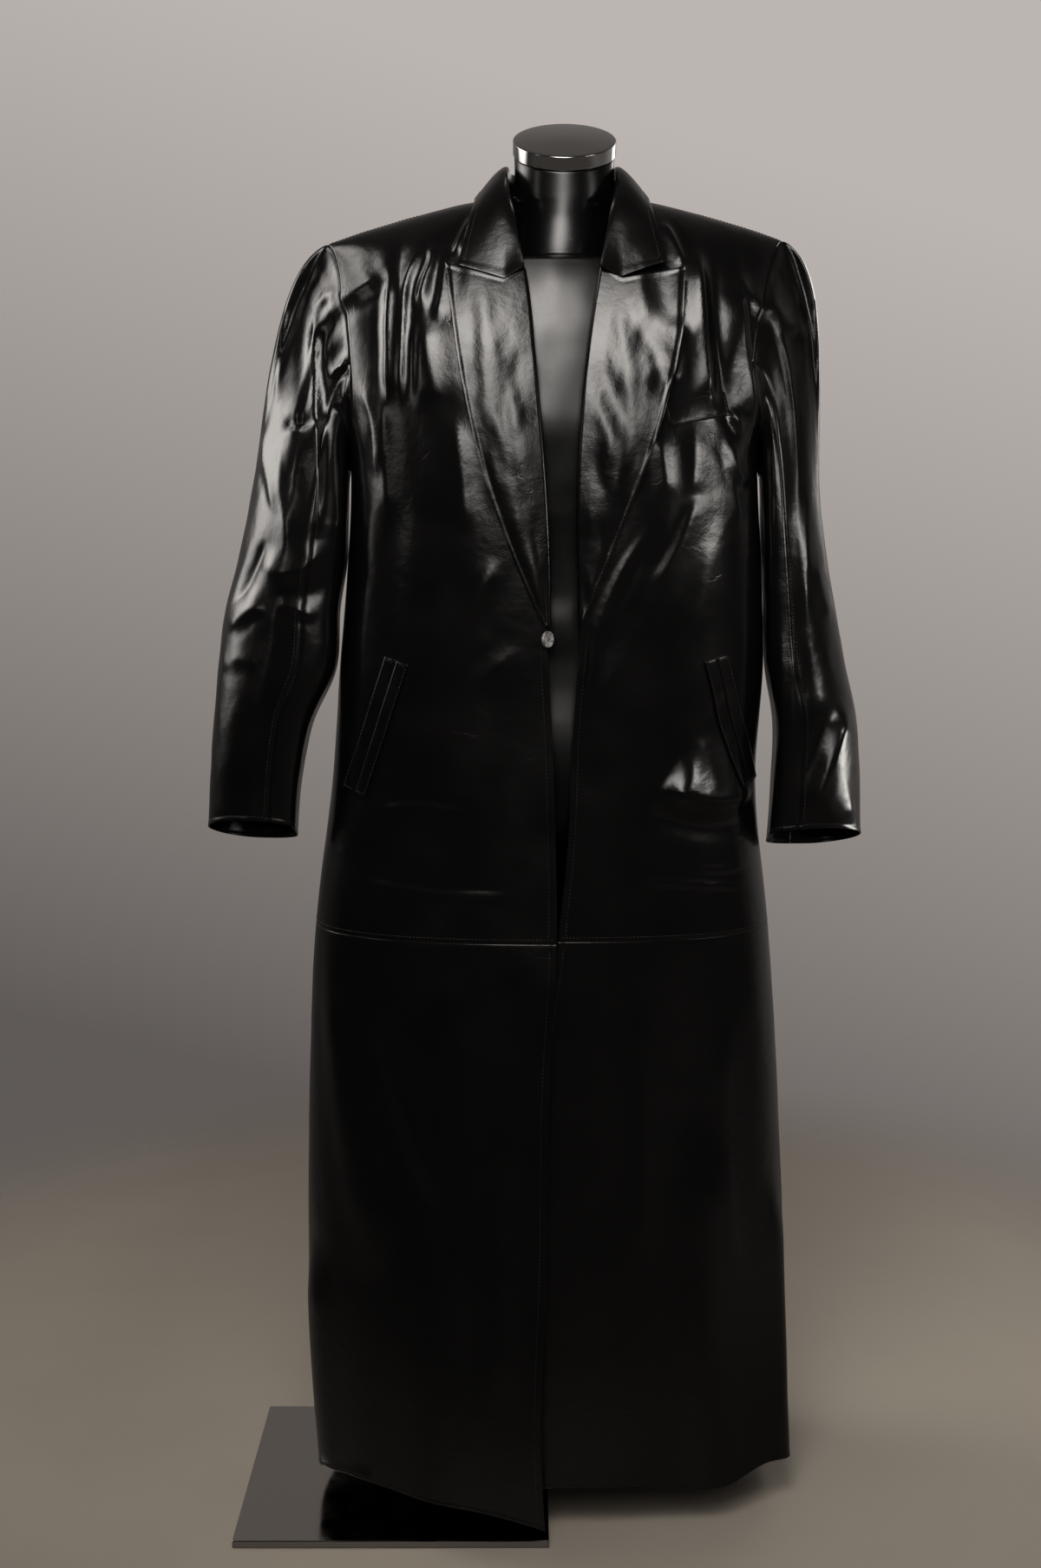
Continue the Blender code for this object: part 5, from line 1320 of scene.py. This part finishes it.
bpy.ops.object.select_all(action="DESELECT")
bpy.ops.mesh.primitive_cylinder_add(vertices=96, radius=CAP_RADIUS, depth=CAP_BAND,
                                    location=(0, 0, CAP_BAND / 2))
cap = bpy.context.object
cap.name = cap.data.name = "chrome_neck_cap"
bpy.ops.object.transform_apply(location=True, rotation=True, scale=True)
for inset, lift in CAP_STEPS:
    pick(cap, lambda centre, normal: normal.z > 0.5 and math.hypot(centre.x, centre.y) < 0.001)
    bpy.ops.mesh.inset(thickness=inset, depth=0)
    bpy.ops.transform.translate(value=(0, 0, lift))
bpy.ops.mesh.poke()
bpy.ops.object.mode_set(mode="OBJECT")
soft = cap.modifiers.new("rolled_edge", "BEVEL")
soft.width, soft.segments, soft.limit_method, soft.angle_limit = CAP_EDGE, 3, "ANGLE", math.radians(50)
bpy.ops.object.modifier_apply(modifier="rolled_edge")
bpy.ops.object.shade_smooth_by_angle(angle=math.radians(35))
flat_band = cap.modifiers.new("flat_band", "WEIGHTED_NORMAL")
flat_band.weight, flat_band.keep_sharp = 100, True
bpy.ops.object.modifier_apply(modifier="flat_band")
settle(cap, lean=(NECK_LEAN, 0, 0), at=(BODY_X + NECK_SHIFT, 0, NECK_TOP + 2 * SEAM))
cap.data.materials.append(chrome)
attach(cap, "root")
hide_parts("neck_cap")
print("cap", [round(x, 4) for x in cap.dimensions])

# %% [markdown]
# ## The button
# One four-hole button hangs at the front edge, half turned away. A disc gets a raised rim by two insets,
# the inner one lowered, and four small cylinders are cut out of it with the Boolean modifier.

# %% Button
BUTTON_PLACE, BUTTON_RADIUS, BUTTON_THICK = (-0.0166, -0.1528, 1.0285), 0.0088, 0.0032
BUTTON_TURN = math.radians(50.0)
BUTTON_RIM, BUTTON_SLOPE, BUTTON_DISH, BUTTON_EDGE = 0.0016, 0.0006, 0.0008, 0.0005
HOLE_AT, HOLE_RADIUS = 0.0016, 0.0008

bpy.ops.object.select_all(action="DESELECT")
bpy.ops.mesh.primitive_cylinder_add(vertices=48, radius=BUTTON_RADIUS, depth=BUTTON_THICK,
                                    location=(0, 0, BUTTON_THICK / 2))
button = bpy.context.object
button.name = button.data.name = "horn_button"
bpy.ops.object.transform_apply(location=True, rotation=True, scale=True)
pick(button, lambda centre, normal: normal.z > 0.5)
bpy.ops.mesh.inset(thickness=BUTTON_RIM, depth=0)
bpy.ops.mesh.inset(thickness=BUTTON_SLOPE, depth=0)
bpy.ops.transform.translate(value=(0, 0, -BUTTON_DISH))
bpy.ops.object.mode_set(mode="OBJECT")
soft = button.modifiers.new("round", "BEVEL")
soft.width, soft.segments, soft.limit_method, soft.angle_limit = BUTTON_EDGE, 3, "ANGLE", math.radians(30)
bpy.ops.object.modifier_apply(modifier="round")
for x, y in ((1, 1), (-1, 1), (-1, -1), (1, -1)):
    bpy.ops.mesh.primitive_cylinder_add(vertices=16, radius=HOLE_RADIUS, depth=0.02,
                                        location=(x * HOLE_AT, y * HOLE_AT, 0))
    drill = bpy.context.object
    bpy.context.view_layer.objects.active = button
    hole = button.modifiers.new("hole", "BOOLEAN")
    hole.object, hole.operation, hole.solver = drill, "DIFFERENCE", "EXACT"
    bpy.ops.object.modifier_apply(modifier="hole")
    bpy.data.objects.remove(drill, do_unlink=True)
bpy.ops.object.select_all(action="DESELECT")
button.select_set(True)
bpy.ops.object.shade_smooth_by_angle(angle=math.radians(35))
settle(button, lean=(math.pi / 2, 0, BUTTON_TURN), at=(BUTTON_PLACE[0] + BODY_X, *BUTTON_PLACE[1:]))
button.data.materials.append(horn)
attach(button, "root")
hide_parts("button")
print("button", len(button.data.polygons), "faces")

# %% [markdown]
# The pole and the base plate have the right shape in the CAD, so they stay and only get their finish.

# %% Pole and base plate
for node, finish in (("pole", chrome), ("base_plate", steel)):
    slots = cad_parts[node].data.materials
    slots.clear()
    slots.append(finish)
print("kept", "pole", "base_plate")

# %% [markdown]
# ## Floor
# The floor is a disc of pale paint that fades out, so that no edge shows, and painted light makes it paler to
# the right.
# Mirrored rays see it darker, a painted shade in its reflection, because the hem would look grey otherwise.

# %% Floor
FLOOR_RADIUS, FLOOR_MIDDLE, FLOOR_SPECK = 1.5, (0.05, 0.5, 0.0), 0.15

bpy.ops.object.select_all(action="DESELECT")
bpy.ops.mesh.primitive_circle_add(vertices=96, radius=FLOOR_RADIUS, fill_type="NGON", location=FLOOR_MIDDLE)
floor = bpy.context.object
floor.name = "floor"
bpy.ops.object.transform_apply(location=True, rotation=True, scale=True)
paint, tree, shader = begin("pale_floor_paint")
place = add(tree, "TexCoord").outputs["Object"]
centred = add(tree, "Mapping", {"Vector": place, "Location": [-x for x in FLOOR_MIDDLE]})
far = add(tree, "VectorMath", {0: centred.outputs["Vector"]}, operation="LENGTH")
seen = add(tree, "MapRange", {"Value": far.outputs["Value"], "From Min": 0.75, "From Max": 1.4,
                              "To Min": 1.0, "To Max": 0.0}, interpolation_type="SMOOTHSTEP")
speck = add(tree, "TexNoise", {"Vector": place, "Scale": 1 / FLOOR_SPECK, "Detail": 5.0})
# Painted light: the floor is painted paler to the right, where more light falls on it.
aside = add(tree, "SeparateXYZ", {"Vector": place})
painted_light_right = add(tree, "MapRange", {"Value": aside.outputs["X"], "From Min": -0.5, "From Max": 0.8,
                               "To Min": 0.0, "To Max": 0.85})
speck_and_painted_light = add(tree, "Math", {0: speck.outputs["Fac"], 1: 0.15, 2: painted_light_right.outputs["Result"]},
           operation="MULTIPLY_ADD")
wash = add(tree, "Mix", {"Factor": speck_and_painted_light.outputs["Value"], "A": linear("#8a8277"), "B": linear("#b9b0a3")},
           data_type="RGBA")
# Painted shade: rays mirrored off the leather see the floor in a darker colour.
in_gloss = add(tree, "LightPath").outputs["Is Glossy Ray"]
painted_shade_in_reflection = add(tree, "Mix", {"Factor": in_gloss, "A": wash.outputs["Result"], "B": linear("#5c564f")},
               data_type="RGBA")
feed(shader, {"Base Color": painted_shade_in_reflection.outputs["Result"], "Alpha": seen.outputs["Result"], "Roughness": 0.6})
floor.data.materials.append(paint)
print("floor", [round(x, 2) for x in floor.dimensions])

# %% [markdown]
# ## Background
# What the camera sees behind is a grey with painted light on it, lighter high up and to the right and
# darker downwards, as lamps light a studio wall. Mirrored, that wall is only behind the coat and
# dimmer high up, and the front of the room is dark, so that the leather stays black between its highlights.

# %% Background
world = bpy.data.worlds.new("studio")
bpy.context.scene.world = world
world.use_nodes = True
tree = world.node_tree
tree.nodes.clear()
look = add(tree, "SeparateXYZ", {"Vector": add(tree, "TexCoord").outputs["Generated"]})
# Painted light: the wall grey is lighter high up and to the right and darker downwards.
slope = add(tree, "Math", {0: look.outputs["X"], 1: 0.30, 2: look.outputs["Z"]}, operation="MULTIPLY_ADD")
share = add(tree, "MapRange", {"Value": slope.outputs["Value"], "From Min": -0.30, "From Max": 0.20})
wall_painted_light = add(tree, "ValToRGB", {"Fac": share.outputs["Result"]})
wall_painted_light.color_ramp.elements.new(0.45)
for stop, code in zip(wall_painted_light.color_ramp.elements, ("#5f5a57", "#928c88", "#bcb5b1")):
    stop.color = linear(code)
high_up = add(tree, "MapRange", {"Value": look.outputs["Z"], "From Min": 0.08, "From Max": 0.32,
                                 "To Min": 0.45, "To Max": 0.34})
ceiling = add(tree, "MapRange", {"Value": look.outputs["Z"], "From Min": 0.58, "From Max": 0.80,
                                 "To Min": 1.0, "To Max": 0.55})
overhead = add(tree, "Math", {0: high_up.outputs["Result"], 1: ceiling.outputs["Result"]},
               operation="MULTIPLY")
below = add(tree, "MapRange", {"Value": look.outputs["Z"], "From Min": -0.40, "From Max": -0.15,
                               "To Min": 0.45, "To Max": 0.055})
behind = add(tree, "MapRange", {"Value": look.outputs["Y"], "From Min": 0.05, "From Max": 0.55,
                                "To Min": below.outputs["Result"], "To Max": overhead.outputs["Value"]})
wall_light = add(tree, "Background", {"Color": wall_painted_light.outputs["Color"], "Strength": 1.0})
room_light = add(tree, "Background", {"Color": wall_painted_light.outputs["Color"],
                                      "Strength": behind.outputs["Result"]})
by_camera = add(tree, "LightPath").outputs["Is Camera Ray"]
seen = add(tree, "MixShader", {"Fac": by_camera, 1: room_light.outputs["Background"],
                               2: wall_light.outputs["Background"]})
add(tree, "OutputWorld", {"Surface": seen.outputs["Shader"]})
print("background", world.name)

# %% [markdown]
# ## Lights
# Black leather shows only what it mirrors, so each lamp is placed by its reflection. A large soft box hangs
# high in front, where the chest and the lapels mirror it and the skirt does not, with two weaker ones below
# it. Boxes to the left, above the left, to the right and at both sides draw the sleeves and the shoulders.
# Two small near boxes light one fold each, under the left pocket and on the left forearm, and light linking
# keeps the second one off the skirt. A soft box is brightest in its middle, which gives a highlight its
# soft border.

# %% Lights
def soft_box(name, at, aim, size, power, code="#fffaf5"):
    """A rectangular lamp at a place, turned towards an aim, brightest in its middle as a soft box is."""
    lamp = bpy.data.lights.new(name, "AREA")
    lamp.shape, lamp.size, lamp.size_y, lamp.energy = "RECTANGLE", size[0], size[1], power
    lamp.color = linear(code)[:3]
    lamp.use_nodes = True
    tree = lamp.node_tree
    spot = add(tree, "NewGeometry").outputs["Parametric"]
    off = add(tree, "VectorMath", {0: spot, 1: (0.5, 0.5, 0.0)}, operation="DISTANCE")
    glow = add(tree, "MapRange", {"Value": off.outputs["Value"], "From Max": 0.5, "To Min": 1.0,
                                  "To Max": 0.0}, interpolation_type="SMOOTHSTEP")
    feed(tree.nodes["Emission"], {"Strength": glow.outputs["Result"]})
    made = bpy.data.objects.new(name, lamp)
    made.location = at
    made.rotation_euler = (Vector(aim) - Vector(at)).to_track_quat("-Z", "Y").to_euler()
    made.visible_camera = False
    bpy.context.scene.collection.objects.link(made)
    return made


LAMPS = (
    # name, place, aim, width and height, power
    ("soft_box_front", (-0.10, -1.68, 2.48), (0.05, -0.1, 1.34), (1.5, 2.25), 135),
    ("soft_box_front_low", (-0.05, -2.30, 1.78), (0.05, -0.1, 1.34), (1.2, 1.0), 18),
    ("soft_box_low", (0.05, -2.75, 1.60), (0.05, 0, 1.35), (2.4, 1.0), 16),
    ("soft_box_left", (-1.95, 0.66, 1.88), (-0.25, 0, 1.25), (2.0, 2.4), 95),
    ("soft_box_right", (1.37, 1.75, 1.9), (0.35, 0, 1.3), (1.2, 1.8), 24),
    ("over_box_left", (-1.66, 0.17, 2.93), (-0.1, -0.05, 1.42), (1.1, 1.1), 20),
    ("side_box_left", (-1.95, -1.2, 1.7), (-0.2, 0, 1.2), (0.8, 1.2), 5),
    ("side_box_right", (2.15, -1.2, 1.75), (0.25, 0, 0.9), (0.9, 1.0), 8),
    ("pocket_box", (1.04, -0.61, 1.25), (0.25, -0.13, 0.89), (0.70, 0.26), 6),
    ("forearm_box", (1.15, 0.13, 0.79), (0.42, -0.03, 0.87), (0.60, 0.34), 8),
)
lamps = {name: soft_box(name, *row) for name, *row in LAMPS}
lit_alone = bpy.data.collections.new("left_sleeve_alone")
lit_alone.objects.link(pieces["sleeve_top_left"])
lamps["forearm_box"].light_linking.receiver_collection = lit_alone
bpy.context.scene.view_settings.view_transform = "Standard"

# %% [markdown]
# ## Camera
# The edges of the base plate in the photo give the view: a lens of about 47 mm at chest height, 2.4 m away,
# tipped a little down.

# %% Camera
LENS, SENSOR = 47.45, 36.0
CAMERA_PLACE, CAMERA_DOWN = (0.045, -2.40, 1.158), 7.3

eye = bpy.data.cameras.new("camera")
eye.lens, eye.sensor_width, eye.sensor_fit = LENS, SENSOR, "AUTO"
camera = bpy.data.objects.new("camera", eye)
camera.location = CAMERA_PLACE
camera.rotation_euler = (math.radians(90 - CAMERA_DOWN), 0, 0)
bpy.context.scene.collection.objects.link(camera)
bpy.context.scene.camera = camera
print("camera", [round(x, 3) for x in camera.location])
